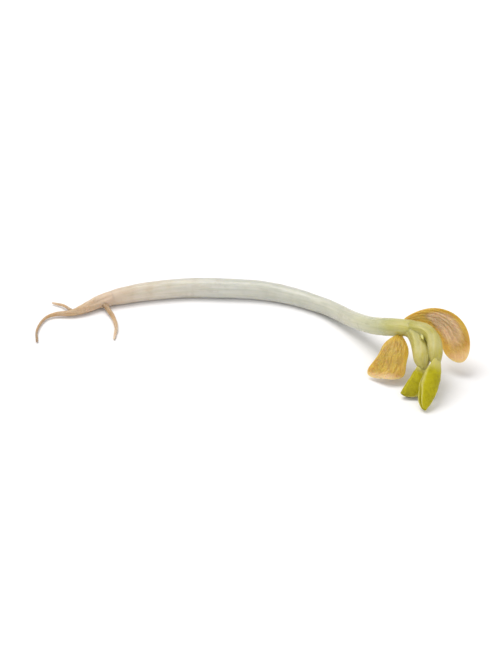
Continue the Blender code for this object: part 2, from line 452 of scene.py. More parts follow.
@dataclass(frozen=True)
class Tube:
    """An organ whose skin is carried along a stretch of a route.

    Attributes:
        name: the piece's name.
        node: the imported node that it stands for.
        slot: the slot of its finish.
        route: the route.
        first: the station that it starts at.
        last: the station that it ends at.
        margins: how far it starts after the first station and ends before the last; below 0 it reaches past.
        caps: the lengths of its rounded ends.
        rows: rows between the caps.
        columns: columns round it.
        girth: the radius at which its marks measure the way round.
        cap_rows: rows in each rounded end.
        marks_from: the distance that its marks start at, which lets a pattern run on from another organ.
    """

    name: str
    node: str
    slot: Slot
    route: Route
    first: int
    last: int
    margins: tuple[float, float]
    caps: tuple[float, float]
    rows: int
    columns: int
    girth: float
    cap_rows: int = 10
    marks_from: float = 0.0

    def swell(self, gone: Array, left: Array, angle: Array) -> Array:
        """The share by which the skin stands out from the route's radius.

        Args:
            gone: rows x 1 distances from the start.
            left: rows x 1 distances to the end.
            angle: 1 x columns angles, 0 at the side and a quarter turn at the top.

        Returns:
            rows x columns shares.
        """
        return np.zeros((len(gone), angle.shape[1]))

    def settle(self, points: Array) -> Array:
        """The points after the organ is laid down; a plain tube keeps them."""
        return points

    def skin(self) -> Skin:
        """The tube's skin: rings of the route's radius, times each row's width, times 1 plus the swell.

        Returns:
            The skin.
        """
        length = self.route.length(self.first, self.last) - sum(self.margins)
        shares, widths = capped_shares(length, self.caps, self.rows, self.cap_rows)
        path = self.route.path(self.first, self.last, self.margins, shares)
        angle = around(self.columns)
        gone = (shares * length)[:, None]
        radius = (path.radii * widths)[:, None] * (1 + self.swell(gone, length - gone, angle))
        points = self.settle(path.rings(radius, angle))
        whole = np.ones_like(radius)
        round_it = [self.girth * np.cos(angle) * whole, self.girth * np.sin(angle) * whole]
        marks = {
            Mark.ALONG: shares[:, None] * whole,
            Mark.SKIN: np.stack([*round_it, (self.marks_from + gone) * whole], axis=-1),
        }
        return Skin(points, marks)

    def build(self, material: bpy.types.Material) -> bpy.types.Object:
        """Makes the piece, dressed in the material."""
        return self.skin().piece(self.name, material, self.slot, self.node)


def grooves(gone: Array, angle: Array, ribs: Ribs, seed: int) -> Array:
    """Lengthwise ribs and grooves: the sum of depth * cos(count * angle + wander * waves(distance)).

    Args:
        gone: rows x 1 distances.
        angle: 1 x columns angles.
        ribs: the count, depth and wander of each set of ribs.
        seed: the seed of the wandering.

    Returns:
        rows x columns shares of the radius.
    """
    total = 0.0
    for number, (count, depth, wander) in enumerate(ribs):
        drift = wander * Waves(seed + number, (0.28,), 6).at(gone)
        total = total + depth * np.cos(count * angle + drift)
    return total


@dataclass(frozen=True)
class Ring:
    """A swelling or a waist round a tube.

    Attributes:
        height: how far it stands out, as a share of the radius; below 0 it is a waist.
        place: its distance from the end that it is measured from.
        spread: how far it spreads to each side.
    """

    height: float
    place: float
    spread: float

    def at(self, distance: Array) -> Array:
        """height * bell(distance, place, spread)."""
        return self.height * bell(distance, self.place, self.spread)


@dataclass(frozen=True)
class WhiteStem(Tube):
    """The white stem: faintly ribbed, ringed at its collar, creased under its bend and pressed flat below.

    Attributes:
        ribs: its lengthwise ribs.
        ribs_grow: the distances from its start and from its end over which the ribs grow.
        seed: the seed of its unevenness.
        dents: the depth of its slow dents.
        collar: the rings at its start.
        shoulder: the rings at its end.
        creases: the depth of the creases under its bend.
        crease_pace: radians of crease to a millimetre.
        crease_stray: how far the creases wander, in radians.
        crease_turn: how far round from its underside their middle is, in radians.
        bend: how far from its end the bend is, and how far the creases spread from there.
        drawn_in: how far the whole skin lies inside the route's radius.
        flat_rounding: how softly its flat underside starts, in millimetres.
    """

    ribs: Ribs = ((3, 0.010, 1.5), (7, 0.007, 2.5), (11, 0.005, 3.0), (17, 0.003, 4.0))
    ribs_grow: tuple[float, float] = (5.0, 3.0)
    seed: int = 11
    dents: float = 0.012
    collar: tuple[Ring, Ring] = (Ring(0.025, 1.9, 0.9), Ring(-0.045, 0.0, 0.7))
    shoulder: tuple[Ring, Ring] = (Ring(0.015, 2.6, 1.2), Ring(-0.03, 0.0, 1.0))
    creases: float = 0.008
    crease_pace: float = 5.2
    crease_stray: float = 1.4
    crease_turn: float = 0.4
    bend: tuple[float, float] = (6.0, 6.0)
    drawn_in: float = 0.015
    flat_rounding: float = 0.035

    def swell(self, gone: Array, left: Array, angle: Array) -> Array:
        """Ribs, slow dents, a soft collar, a shoulder below the seed halves and creases under the bend.

        Args:
            gone: rows x 1 distances from the start.
            left: rows x 1 distances to the end.
            angle: 1 x columns angles.

        Returns:
            rows x columns shares of the radius.
        """
        ribs = grooves(gone, angle, self.ribs, self.seed)
        ribs = ribs * smooth_step(gone, 0.0, self.ribs_grow[0]) * smooth_step(left, 0.0, self.ribs_grow[1])
        slow = Waves(self.seed + 10, (0.35, 1.2, 1.2)).at(gone, np.cos(angle), np.sin(angle))
        collar = self.collar[0].at(gone) + self.collar[1].at(gone)
        shoulder = self.shoulder[0].at(left) + self.shoulder[1].at(left)
        beneath = 0.5 - 0.5 * np.sin(angle - self.crease_turn)
        stray = self.crease_stray * Waves(self.seed + 20, (0.8, 1.0), 5).at(gone, np.cos(angle))
        creases = self.creases * np.sin(gone * self.crease_pace + stray)
        creases = creases * beneath**2 * bell(left, *self.bend)
        return ribs + self.dents * slow + collar + shoulder + creases - self.drawn_in

    def settle(self, points: Array) -> Array:
        """The points with heights below the surface brought up: half of z + sqrt(z^2 + rounding^2).

        Args:
            points: rows x columns x 3 points, which are changed in place.

        Returns:
            The same points.
        """
        low = points[..., 2]
        points[..., 2] = 0.5 * (low + np.sqrt(low**2 + self.flat_rounding**2))
        return points


@dataclass(frozen=True)
class TapRoot(Tube):
    """The root: wrinkled lengthwise and ringed, with nubs where side roots would start.

    Attributes:
        ribs: its lengthwise wrinkles.
        seed: the seed of its unevenness.
        dents: the depth of its slow dents.
        rings: the depth of its fine rings.
        nubs: the distance from the tip, the turn round the root and the height of each nub.
        nub_spread: how wide a nub is, in millimetres.
        swelling: where the root fills out near its tip.
        smoothed: the distances from its end where its unevenness is gone and where it is whole.
    """

    ribs: Ribs = ((4, 0.035, 3.0), (7, 0.030, 4.0), (12, 0.016, 5.0))
    seed: int = 41
    dents: float = 0.035
    rings: float = 0.03
    nubs: tuple[tuple[float, float, float], ...] = (
        (12.2, 0.9, 0.10), (13.6, 2.6, 0.12), (15.0, 5.4, 0.12), (16.3, 1.7, 0.14), (17.4, 3.9, 0.14),
        (18.6, 0.5, 0.15), (19.4, 2.3, 0.13), (20.6, 5.0, 0.16), (21.7, 1.2, 0.15), (22.9, 3.3, 0.12),
    )
    nub_spread: float = 0.26
    swelling: Ring = Ring(0.02, 1.0, 0.8)
    smoothed: tuple[float, float] = (-0.2, 1.6)

    def swell(self, gone: Array, left: Array, angle: Array) -> Array:
        """Lengthwise wrinkles, fine rings, slow dents and the nubs, each a bell on the skin.

        Args:
            gone: rows x 1 distances from the start.
            left: rows x 1 distances to the end.
            angle: 1 x columns angles.

        Returns:
            rows x columns shares of the radius.
        """
        ribs = grooves(gone, angle, self.ribs, self.seed)
        slow = Waves(self.seed + 10, (1.1, 1.3, 1.3)).at(gone, np.cos(angle), np.sin(angle))
        fine = Waves(self.seed + 20, (5.5, 1.0, 1.0), 10).folds(2.2, gone, np.cos(angle), np.sin(angle))
        total = ribs + self.dents * slow - self.rings * fine
        for distance, turn, height in self.nubs:
            apart = np.abs((angle - turn + math.pi) % (2 * math.pi) - math.pi) * self.girth
            total = total + height * np.exp(-((gone - distance) ** 2 + apart**2) / self.nub_spread**2)
        return total * smooth_step(left, *self.smoothed) + self.swelling.at(gone)


@dataclass(frozen=True)
class SideRoot(Tube):
    """A side root: wrinkled and a little knotty.

    Attributes:
        seed: the seed of its unevenness.
        ribs: its lengthwise wrinkles.
        knots: the height of its slow knots.
        foot: how much wider it is where it leaves the root.
        foot_reach: the distance over which that falls to about a third, in millimetres.
    """

    seed: int = 71
    ribs: Ribs = ((3, 0.06, 3.0), (5, 0.04, 4.0))
    knots: float = 0.07
    foot: float = 0.45
    foot_reach: float = 0.5

    def swell(self, gone: Array, left: Array, angle: Array) -> Array:
        """Lengthwise wrinkles, slow knots, and a foot that widens by foot * exp(-distance / foot_reach).

        Args:
            gone: rows x 1 distances from the start.
            left: rows x 1 distances to the end.
            angle: 1 x columns angles.

        Returns:
            rows x columns shares of the radius.
        """
        ribs = grooves(gone, angle, self.ribs, self.seed)
        knots = self.knots * Waves(self.seed + 5, (1.4, 0.8, 0.8)).at(gone, np.cos(angle), np.sin(angle))
        return ribs + knots + self.foot * np.exp(-gone / self.foot_reach)


@dataclass(frozen=True)
class GreenStalk(Tube):
    """The stalk above the seed halves: grooved, and parting in two at its end.

    Attributes:
        ribs: its lengthwise ribs.
        seed: the seed of its unevenness.
        dents: the depth of its slow dents.
        lobes: how far the two lobes stand out at the fork.
        fork_turn: the turn round the stalk that a lobe faces.
        fork_span: the distances from its end where the lobes start and where they are whole.
        creases: the depth of the creases inside the hook.
        smoothed: the distances from its start where its ribs and dents start and where they are whole.
    """

    ribs: Ribs = ((4, 0.018, 1.5), (9, 0.010, 2.5), (14, 0.006, 3.0))
    seed: int = 81
    dents: float = 0.018
    lobes: float = 0.06
    fork_turn: float = 0.35
    fork_span: tuple[float, float] = (2.6, 0.4)
    creases: float = 0.035
    smoothed: tuple[float, float] = (0.4, 2.4)

    def swell(self, gone: Array, left: Array, angle: Array) -> Array:
        """Soft ribs, dents, creases inside the hook and two lobes that grow towards the fork.

        Args:
            gone: rows x 1 distances from the start.
            left: rows x 1 distances to the end.
            angle: 1 x columns angles.

        Returns:
            rows x columns shares of the radius.
        """
        ribs = grooves(gone, angle, self.ribs, self.seed)
        dents = self.dents * Waves(self.seed + 10, (0.8, 1.2, 1.2)).at(gone, np.cos(angle), np.sin(angle))
        parted = smooth_step(-left, -self.fork_span[0], -self.fork_span[1])
        lobes = self.lobes * np.cos(2 * (angle - self.fork_turn)) * parted
        beneath = (0.5 - 0.5 * np.sin(angle)) ** 2
        folds = Waves(self.seed + 14, (4.2, 0.8), 8).folds(2.0, gone, np.cos(angle))
        return (ribs + dents) * smooth_step(gone, *self.smoothed) + lobes - self.creases * beneath * folds


@dataclass(frozen=True)
class LeafStalk(Tube):
    """A leaf's short stalk, channelled above.

    Attributes:
        ribs: its lengthwise ribs.
        seed: the seed of its unevenness.
        ribs_span: the distances from its foot where the ribs start and where they are whole.
        channel: the depth of the channel along its top.
        channel_spread: how far the channel spreads to each side, in radians.
        channel_span: the distances from its foot where the channel starts and where it is whole.
    """

    ribs: Ribs = ((5, 0.03, 1.5), (8, 0.015, 2.0))
    seed: int = 101
    ribs_span: tuple[float, float] = (1.5, 4.0)
    channel: float = 0.10
    channel_spread: float = 0.5
    channel_span: tuple[float, float] = (3.0, 5.0)

    def swell(self, gone: Array, left: Array, angle: Array) -> Array:
        """A channel along its top and soft ribs, both smoothed out towards its foot.

        Args:
            gone: rows x 1 distances from the start.
            left: rows x 1 distances to the end.
            angle: 1 x columns angles.

        Returns:
            rows x columns shares of the radius.
        """
        channel = -self.channel * bell(angle, math.pi / 2, self.channel_spread)
        ribs = grooves(gone, angle, self.ribs, self.seed)
        return channel * smooth_step(gone, *self.channel_span) + ribs * smooth_step(gone, *self.ribs_span)


# ---------------------------------------------------------------------------------------------------------
# Blades and seed halves
# ---------------------------------------------------------------------------------------------------------


@dataclass(frozen=True)
class Bow:
    """A quadratic curve with an inner side.

    Attributes:
        controls: its three control points.
        facing: the direction that its inner side looks to, as near as the curve lets it.
    """

    controls: tuple[Point, Point, Point]
    facing: Point

    def rows(self, t: Array) -> tuple[Array, Array, Array, Array]:
        """p0 (1 - t)^2 + 2 p1 t (1 - t) + p2 t^2, and the directions along, to its inner side and across.

        Args:
            t: the rows' shares of the way.

        Returns:
            Places, tangents, facings square to them, and tangent x facing, each rows x 3.
        """
        first, middle, last = (np.array(point) for point in self.controls)
        share = t[:, None]
        places = first * (1 - share) ** 2 + middle * (2 * share * (1 - share)) + last * share**2
        tangents = unit((middle - first) * (1 - share) + (last - middle) * share)
        towards = np.array(self.facing)
        facings = unit(towards - tangents * (tangents @ towards)[:, None])
        return places, tangents, facings, np.cross(tangents, facings)


@dataclass(frozen=True)
class FoldedLeaf:
    """A young leaf on its stalk, folded along its midrib like a closed book.

    Attributes:
        side: the name's last word, left or right.
        stalk: the stalk's stations.
        midrib: the curve of the midrib, which looks to the way that the fold opens.
        depth: how far the folded blade reaches from its midrib.
        half_width: half the width between its two margins.
        widest: where along it the blade is widest.
        seed: the seed of its unevenness.
        thickness: the blade's thickness.
        thick_from: the share of its breadth from which it has that thickness.
        margin_thinning: how much thinner it is at its margin.
        fullness: the power that its breadth is raised to; a lower one makes a fuller blade.
        end_depth: the share of its depth that it keeps at its ends.
        end_width: the share of its width that it keeps at its ends.
        ruffles: how far waves push its margin in and out, and to the sides.
        ribs: the height of its midrib on its outer and on its inner face.
        rib_spread: how far the midrib spreads to each side, as a share of the way round to the margin.
        rib_fall: the share of its height on the outer face that the midrib loses by the tip.
        vein_depths: the height of its side veins on its outer face and their depth on its inner face.
        grain: the height of its fine grain.
        vein_pairs: how many side veins leave the midrib on each side.
        vein_slope: how far the side veins lean towards its tip.
        vein_spread: how far a side vein spreads to each side, against the distance between two.
        veins_span: the shares of the way along where the side veins start and where they are whole.
        pattern: the millimetres that its marks count from middle to margin, from middle to face and along.
        rows: rows along it.
        columns: columns round its section.
    """

    side: str
    stalk: tuple[Station, ...]
    midrib: Bow
    depth: float
    half_width: float
    widest: float
    seed: int
    thickness: float = 0.26
    thick_from: float = 0.25
    margin_thinning: float = 0.35
    fullness: float = 0.55
    end_depth: float = 0.12
    end_width: float = 0.45
    ruffles: tuple[float, float] = (0.05, 0.10)
    ribs: tuple[float, float] = (0.09, 0.04)
    rib_spread: float = 0.07
    rib_fall: float = 0.6
    vein_depths: tuple[float, float] = (0.016, 0.008)
    grain: float = 0.022
    vein_pairs: float = 7.0
    vein_slope: float = 0.28
    vein_spread: float = 0.10
    veins_span: tuple[float, float] = (0.02, 0.15)
    pattern: tuple[float, float, float] = (3.0, 0.3, 7.0)
    rows: int = 220
    columns: int = 160

    def blade(self) -> Skin:
        """The blade's skin.

        A way round the section goes up one face of the sheet and down the other: across = cos(round), from
        margin to margin. At turn = across * pi / 2 the sheet's middle is on half an ellipse, at
        facing * depth * (1 - cos(turn)) + crossing * half width * sin(turn), and each face stands off it by
        half the thickness times sin(round)'s cube root, which rounds the margin. The breadth follows
        sin(pi * along^k)^fullness. The midrib stands out from both faces. Side veins stand out from the outer
        face and are sunk into the inner one.

        Returns:
            The skin.
        """
        along = 0.5 - 0.5 * np.cos(np.linspace(0, math.pi, self.rows))
        places, _, facings, crossings = self.midrib.rows(along)
        skew = math.log(0.5) / math.log(self.widest)
        share = (np.sin(math.pi * np.clip(along, TINY, 1 - TINY) ** skew) ** self.fullness)[:, None]
        along = along[:, None]
        turn_round = around(self.columns)
        across, face = np.cos(turn_round), np.sin(turn_round)
        turn = across * math.pi / 2
        depth = self.depth * (self.end_depth + (1 - self.end_depth) * share)
        half_width = self.half_width * (self.end_width + (1 - self.end_width) * share)
        wave = Waves(self.seed, (9.0, 1.5)).at(along, across)
        margin = np.abs(across) ** 3
        reach = depth * (1 - np.cos(turn)) * (1 + self.ruffles[0] * margin * wave)
        wave = Waves(self.seed + 1, (9.0, 1.0)).at(along, across)
        width = half_width * np.sin(turn) * (1 + self.ruffles[1] * margin * wave)
        normal_in = half_width * np.cos(turn)
        normal_across = -depth * np.sin(turn)
        size = np.hypot(normal_in, normal_across)
        veins = self.veins(along, across)
        rib = bell(across, 0.0, self.rib_spread)
        outer = face < 0
        thick = np.clip(share / self.thick_from, 0.0, 1.0)
        stand = 0.5 * self.thickness * np.cbrt(face) * thick * (1 - self.margin_thinning * margin)
        raised = self.ribs[0] * rib * (1 - self.rib_fall * along) + self.vein_depths[0] * veins
        sunk = self.vein_depths[1] * veins - self.ribs[1] * rib
        stand = stand - np.where(outer, raised, sunk)
        stand = stand + self.grain * Waves(self.seed + 2, (22.0, 9.0), 16).at(along, across) * share
        points = (
            places[:, None]
            + facings[:, None] * (reach + stand * normal_in / size)[..., None]
            + crossings[:, None] * (width + stand * normal_across / size)[..., None]
        )
        whole = np.ones_like(reach)
        marks = {
            Mark.ALONG: along * whole,
            Mark.RIM: np.abs(across) * whole,
            Mark.VEIN: np.clip(veins + rib * 1.2, 0, 1) * whole,
            Mark.SKIN: np.stack(
                [part * size * whole for part, size in zip((across, face, along), self.pattern)], axis=-1,
            ),
        }
        return Skin(points, marks)

    def veins(self, along: Array, across: Array) -> Array:
        """Side veins, which fade towards the margins and the base.

        They are bells about the lines where pairs * (along - slope * |across|^1.3) + 0.25 * sign(across) is
        whole, so the veins of the two sides leave the midrib by turns.

        Args:
            along: rows x 1 shares of the way along the blade.
            across: 1 x columns places across it, from -1 to 1.

        Returns:
            rows x columns heights, from 0 to 1.
        """
        count = self.vein_pairs * (along - self.vein_slope * np.abs(across) ** 1.3) + 0.25 * np.sign(across)
        apart = np.abs(count - np.round(count))
        height = bell(apart, 0.0, self.vein_spread) * (1 - np.abs(across) ** 4)
        return height * smooth_step(along, *self.veins_span)

    def build(self, leaf: bpy.types.Material, stalk: bpy.types.Material) -> None:
        """Makes the blade and its stalk.

        Args:
            leaf: the blade's material.
            stalk: the stalk's material.
        """
        node = f"first_leaf_{self.side}"
        self.blade().piece(f"leaf_blade_{self.side}", leaf, Slot.LEAF_GREEN, node)
        route = Route(self.stalk, softness=0.15)
        tube = LeafStalk(
            f"leaf_stalk_{self.side}", node, Slot.GREEN_STALK, route, 0, len(self.stalk) - 1,
            margins=(0.0, -0.5), caps=(0.3, 0.8), rows=200, columns=64, girth=1.2,
        )
        tube.build(stalk)


@dataclass(frozen=True)
class SeedHalf:
    """A spent, shrivelled seed half: a ball drawn out along a bow, cupped, wrinkled and curled at its rim.

    Attributes:
        side: the name's last word, near or far.
        bow: the curve of its long axis, which looks to its hollow side.
        half_width: half its greatest width.
        taper: how late along it that width is reached.
        seed: the seed of its unevenness.
        cup: how far its rim rises over its middle.
        thickness: half its thickness.
        neck: its width where it is held, as a share of its greatest.
        blunt: how square its free end is, from 0, round.
        blunt_span: the shares of the way along where it starts to square and where it is whole.
        slant: how much further its free end reaches on one side than in its middle.
        ragged: how far waves push its rim in and out.
        rim_thinning: how much thinner it is at its rim.
        curl: how far its rim curls towards the hollow, as a share of the cup.
        curl_from: the share of its width from which its rim curls.
        sag: the height of its slow unevenness.
        folds: the depth of its long folds.
        wrinkles: the depth of its short wrinkles.
        grain: the height of its fine grain.
        lift: the least height over the surface that it keeps.
        hollow_turn: how sharply its mark turns from its outer face to its hollow one.
        pattern: the millimetres that its marks count from middle to face and along.
        rows: rows along it.
        columns: columns round it.
    """

    side: str
    bow: Bow
    half_width: float
    taper: float
    seed: int
    cup: float = 0.9
    thickness: float = 0.52
    neck: float = 0.26
    blunt: float = 0.0
    blunt_span: tuple[float, float] = (0.45, 0.95)
    slant: float = 0.0
    ragged: float = 0.10
    rim_thinning: float = 0.42
    curl: float = 0.55
    curl_from: float = 0.6
    sag: float = 0.16
    folds: float = 0.12
    wrinkles: float = 0.07
    grain: float = 0.012
    lift: float = 0.02
    hollow_turn: float = 2.5
    pattern: tuple[float, float] = (0.5, 7.0)
    rows: int = 230
    columns: int = 220

    def skin(self) -> Skin:
        """The seed half's skin.

        On a unit ball of across, thick and length, its place is bow(length) + side * across * width + hollow
        * (cup * across^2 * along + thickness * thick). Towards a blunt free end, across is divided by a power
        of the ring's size, and the whole is drawn along its way by slant * across * along^2. The thickness
        falls towards the rim. Waves push the rim in and out, long folds and short wrinkles sink into both
        faces, and the rim curls towards the hollow.

        Returns:
            The skin.
        """
        polar = np.linspace(0, math.pi, self.rows)
        ring = around(self.columns)
        length = -np.cos(polar)[:, None]
        across, thick = np.sin(polar)[:, None] * np.cos(ring), np.sin(polar)[:, None] * np.sin(ring)
        along = (length + 1) / 2
        places, tangents, facings, crossings = self.bow.rows(along[:, 0])
        sides = -crossings
        edge = np.sqrt(np.clip(across**2 + length**2, 0, 1))
        squared = -self.blunt * smooth_step(along, *self.blunt_span)
        across = across * np.maximum(np.sin(polar), TINY)[:, None] ** squared
        rim_wave = Waves(self.seed, (2.6, 2.6), 9).at(across, length)
        width = self.half_width * (self.neck + (1 - self.neck) * np.sin(math.pi / 2 * along) ** self.taper)
        width = width * (1 + self.ragged * rim_wave * edge)
        folds = Waves(self.seed + 1, (9.0, 2.4), 10).folds(1.9, across + 0.25 * length, length)
        wrinkles = Waves(self.seed + 2, (17.0, 11.0), 16).folds(1.6, across, length)
        grain = Waves(self.seed + 3, (38.0, 30.0), 24).at(across, length)
        sag = Waves(self.seed + 4, (3.4, 3.0), 8).at(across, length)
        body = self.thickness * (1 - self.rim_thinning * edge**2)
        rise = self.cup * across**2 * along * (1 + 0.35 * rim_wave) + body * thick
        rise = rise + self.curl * self.cup * along * np.clip(np.abs(across) - self.curl_from, 0, 1) ** 2 * 2.5
        rise = rise + self.sag * sag * along
        sink = (self.folds * folds + self.wrinkles * wrinkles - self.grain * grain) * (1 - edge**6)
        rise = rise - sink * np.sign(thick) * np.clip(np.abs(thick) * 3, 0, 1)
        points = (
            places[:, None]
            + sides[:, None] * (across * width)[..., None]
            + facings[:, None] * rise[..., None]
            + tangents[:, None] * (self.slant * across * along**2)[..., None]
        )
        points[..., 2] = np.maximum(points[..., 2], self.lift)
        whole = np.ones_like(rise)
        marks = {
            Mark.ALONG: along * whole,
            Mark.RIM: edge * whole,
            Mark.CREASE: np.clip(folds + 0.6 * wrinkles, 0, 1) * whole,
            Mark.HOLLOW: np.clip(0.5 + 0.5 * thick * self.hollow_turn, 0, 1) * whole,
            Mark.SKIN: np.stack(
                [across * width, thick * self.pattern[0] * whole, along * self.pattern[1] * whole], axis=-1,
            ),
        }
        return Skin(points, marks)

    def build(self, material: bpy.types.Material) -> bpy.types.Object:
        """Makes the piece, dressed in the material."""
        node = f"cotyledon_{self.side}"
        return self.skin().piece(f"seed_half_{self.side}", material, Slot.SEED_AMBER, node)


@dataclass(frozen=True)
class ShootBud:
    """The shoot's bud: scale leaves wrapped to a point in the fork of the leaf stalks.

    Attributes:
        middle: its middle.
        heading: the way that its tip points.
        length: its length.
        radius: its radius before the scales are laid on.
        fullness: how wide its foot is, as a share of that radius.
        narrowing: how much that share falls by at its tip.
        scales: how many scales go round it.
        edge: how far out a scale's edges lie, as a share of the radius.
        lap: how far a scale's middle stands out over its edges.
        twist: how far the scales turn from its foot to its tip, in radians.
        rows: rows along it.
        columns: columns round it.
    """

    middle: Point = (27.0, -28.9, 6.7)
    heading: Point = (0.3, -1.9, -0.2)
    length: float = 1.4
    radius: float = 0.28
    fullness: float = 1.15
    narrowing: float = 0.55
    scales: int = 3
    edge: float = 0.86
    lap: float = 0.16
    twist: float = 2.2
    rows: int = 60
    columns: int = 48

    def skin(self) -> Skin:
        """The bud's skin, a ball drawn out along its heading.

        Its radius is radius * sin(polar) * (fullness - narrowing * along^2), which narrows its tip, times
        edge + lap * |cos(scales * angle / 2 + twist * along)|.

        Returns:
            The skin.
        """
        polar = np.linspace(0, math.pi, self.rows)[:, None]
        angle = around(self.columns)
        heading = unit(np.array(self.heading))
        side = unit(np.cross((0.0, 0.0, 1.0), heading))
        above = np.cross(heading, side)
        along = 0.5 - 0.5 * np.cos(polar)
        laps = np.abs(np.cos(self.scales * angle / 2 + self.twist * along))
        radius = self.radius * np.sin(polar) * (self.fullness - self.narrowing * along**2)
        radius = radius * (self.edge + self.lap * laps)
        points = (
            np.array(self.middle)
            + heading * (self.length * (along - 0.5))[..., None]
            + side * (radius * np.cos(angle))[..., None]
            + above * (radius * np.sin(angle))[..., None]
        )
        whole = np.ones_like(radius)
        round_it = [0.2 * np.cos(angle) * whole, 0.2 * np.sin(angle) * whole]
        marks = {
            Mark.ALONG: along * whole,
            Mark.SKIN: np.stack([*round_it, along * whole], axis=-1),
        }
        return Skin(points, marks)

    def build(self, material: bpy.types.Material) -> bpy.types.Object:
        """Makes the piece, dressed in the material."""
        return self.skin().piece("bud_scales", material, Slot.GREEN_STALK, "shoot_bud")


# ---------------------------------------------------------------------------------------------------------
# Materials
# ---------------------------------------------------------------------------------------------------------


class Bench:
    """One node tree, with short calls that add nodes and join them.

    Attributes:
        tree: the node tree.
    """

    def __init__(self, tree: bpy.types.NodeTree) -> None:
        """Starts on a tree."""
        self.tree = tree

    def add(self, kind: str, settings: dict | None = None, **inputs: object) -> bpy.types.Node:
        """Adds a node.

        Args:
            kind: the node's type name, without its ShaderNode prefix unless it has another.
            settings: the node's own properties.
            inputs: values or sockets for its inputs, with _ for a space in the input's name.

        Returns:
            The node.
        """
        node = self.tree.nodes.new(kind if kind.startswith("Node") else "ShaderNode" + kind)
        for key, value in (settings or {}).items():
            setattr(node, key, value)
        for key, value in inputs.items():
            self.feed(node.inputs[key.replace("_", " ")], value)
        return node

    def feed(self, socket: Socket, value: object) -> None:
        """Joins a socket to an input, or sets the input's own value.

        Args:
            socket: the input.
            value: the socket to join, or the value to set.
        """
        if isinstance(value, Socket):
            self.tree.links.new(value, socket)
        else:
            socket.default_value = value

    def mark(self, mark: Mark) -> bpy.types.Node:
        """The node that reads one of the skin's marks."""
        return self.add("Attribute", {"attribute_name": mark.value})

    def math(self, operation: str, *values: object, clamp: bool = False) -> Socket:
        """A Math node's result.

        Args:
            operation: the node's operation.
            values: numbers or sockets for its inputs.
            clamp: whether the result is kept from 0 to 1.

        Returns:
            The output socket.
        """
        node = self.add("Math", {"operation": operation, "use_clamp": clamp})
        for socket, value in zip(node.inputs, values):
            self.feed(socket, value)
        return node.outputs["Value"]

    def times(self, *values: object) -> Socket:
        """Numbers and sockets multiplied, from the first on.

        Args:
            values: two or more numbers or sockets, at least one of them a socket.

        Returns:
            The output socket.
        """
        product = values[0]
        for value in values[1:]:
            product = self.math("MULTIPLY", product, value)
        return product

    def stray(self, value: Socket, clouds: Socket, reach: float) -> Socket:
        """value + (clouds - 0.5) * reach, which makes the edges between a ramp's colours wander."""
        return self.math("ADD", value, self.times(self.math("SUBTRACT", clouds, 0.5), reach))

    def stretch(self, vector: Socket, scale: object) -> Socket:
        """A vector times a scale in each direction.

        Args:
            vector: the vector.
            scale: the scales, as a vector or its socket.

        Returns:
            The output socket.
        """
        node = self.add("VectorMath", {"operation": "MULTIPLY"})
        self.feed(node.inputs[0], vector)
        self.feed(node.inputs[1], scale)
        return node.outputs["Vector"]

    def noise(self, vector: Socket, scale: object, detail: float, roughness: float = 0.5,
              distortion: float = 0.0) -> Socket:
        """A noise texture's factor.

        Args:
            vector: where it is read.
            scale: its scale.
            detail: its octaves.
            roughness: how strong the finer octaves are.
            distortion: how far it is warped.

        Returns:
            The output socket.
        """
        node = self.add("TexNoise", Vector=vector, Scale=scale, Detail=detail, Roughness=roughness,
                        Distortion=distortion)
        return node.outputs["Fac"]

    def span(self, value: object, low: float, high: float, new_low: float = 0.0,
             new_high: float = 1.0) -> Socket:
        """A value brought from one range to another and kept inside it, with soft ends."""
        node = self.add("MapRange", {"interpolation_type": "SMOOTHSTEP"}, Value=value,
                        From_Min=low, From_Max=high, To_Min=new_low, To_Max=new_high)
        return node.outputs["Result"]

    def ramp(self, factor: object, stops: Stops) -> Socket:
        """A colour ramp's colour.

        Args:
            factor: where it is read.
            stops: each stop's place and colour.

        Returns:
            The output socket.
        """
        node = self.add("ValToRGB", Fac=factor)
        elements = node.color_ramp.elements
        while len(elements) < len(stops):
            elements.new(1.0)
        for element, (place, colour) in zip(elements, stops):
            element.position = place
            element.color = (*colour, 1.0)
        return node.outputs["Color"]

    def blend(self, factor: object, first: object, second: object, mode: str = "MIX") -> Socket:
        """Two colours mixed.

        Args:
            factor: the second colour's share.
            first: a colour or its socket.
            second: a colour or its socket.
            mode: the blend mode.

        Returns:
            The output socket.
        """
        node = self.add("Mix", {"data_type": "RGBA", "blend_type": mode})
        self.feed(node.inputs["Factor"], factor)
        for socket, value in ((node.inputs[6], first), (node.inputs[7], second)):
            self.feed(socket, (*value, 1.0) if isinstance(value, tuple) else value)
        return node.outputs[2]


class Effect(Enum):
    """Shared node groups."""

    FIBRES = "lengthwise fibres"
    CLOUDS = "clouds and specks"
    WRINKLES = "wrinkles"
    PORES = "skin cells"


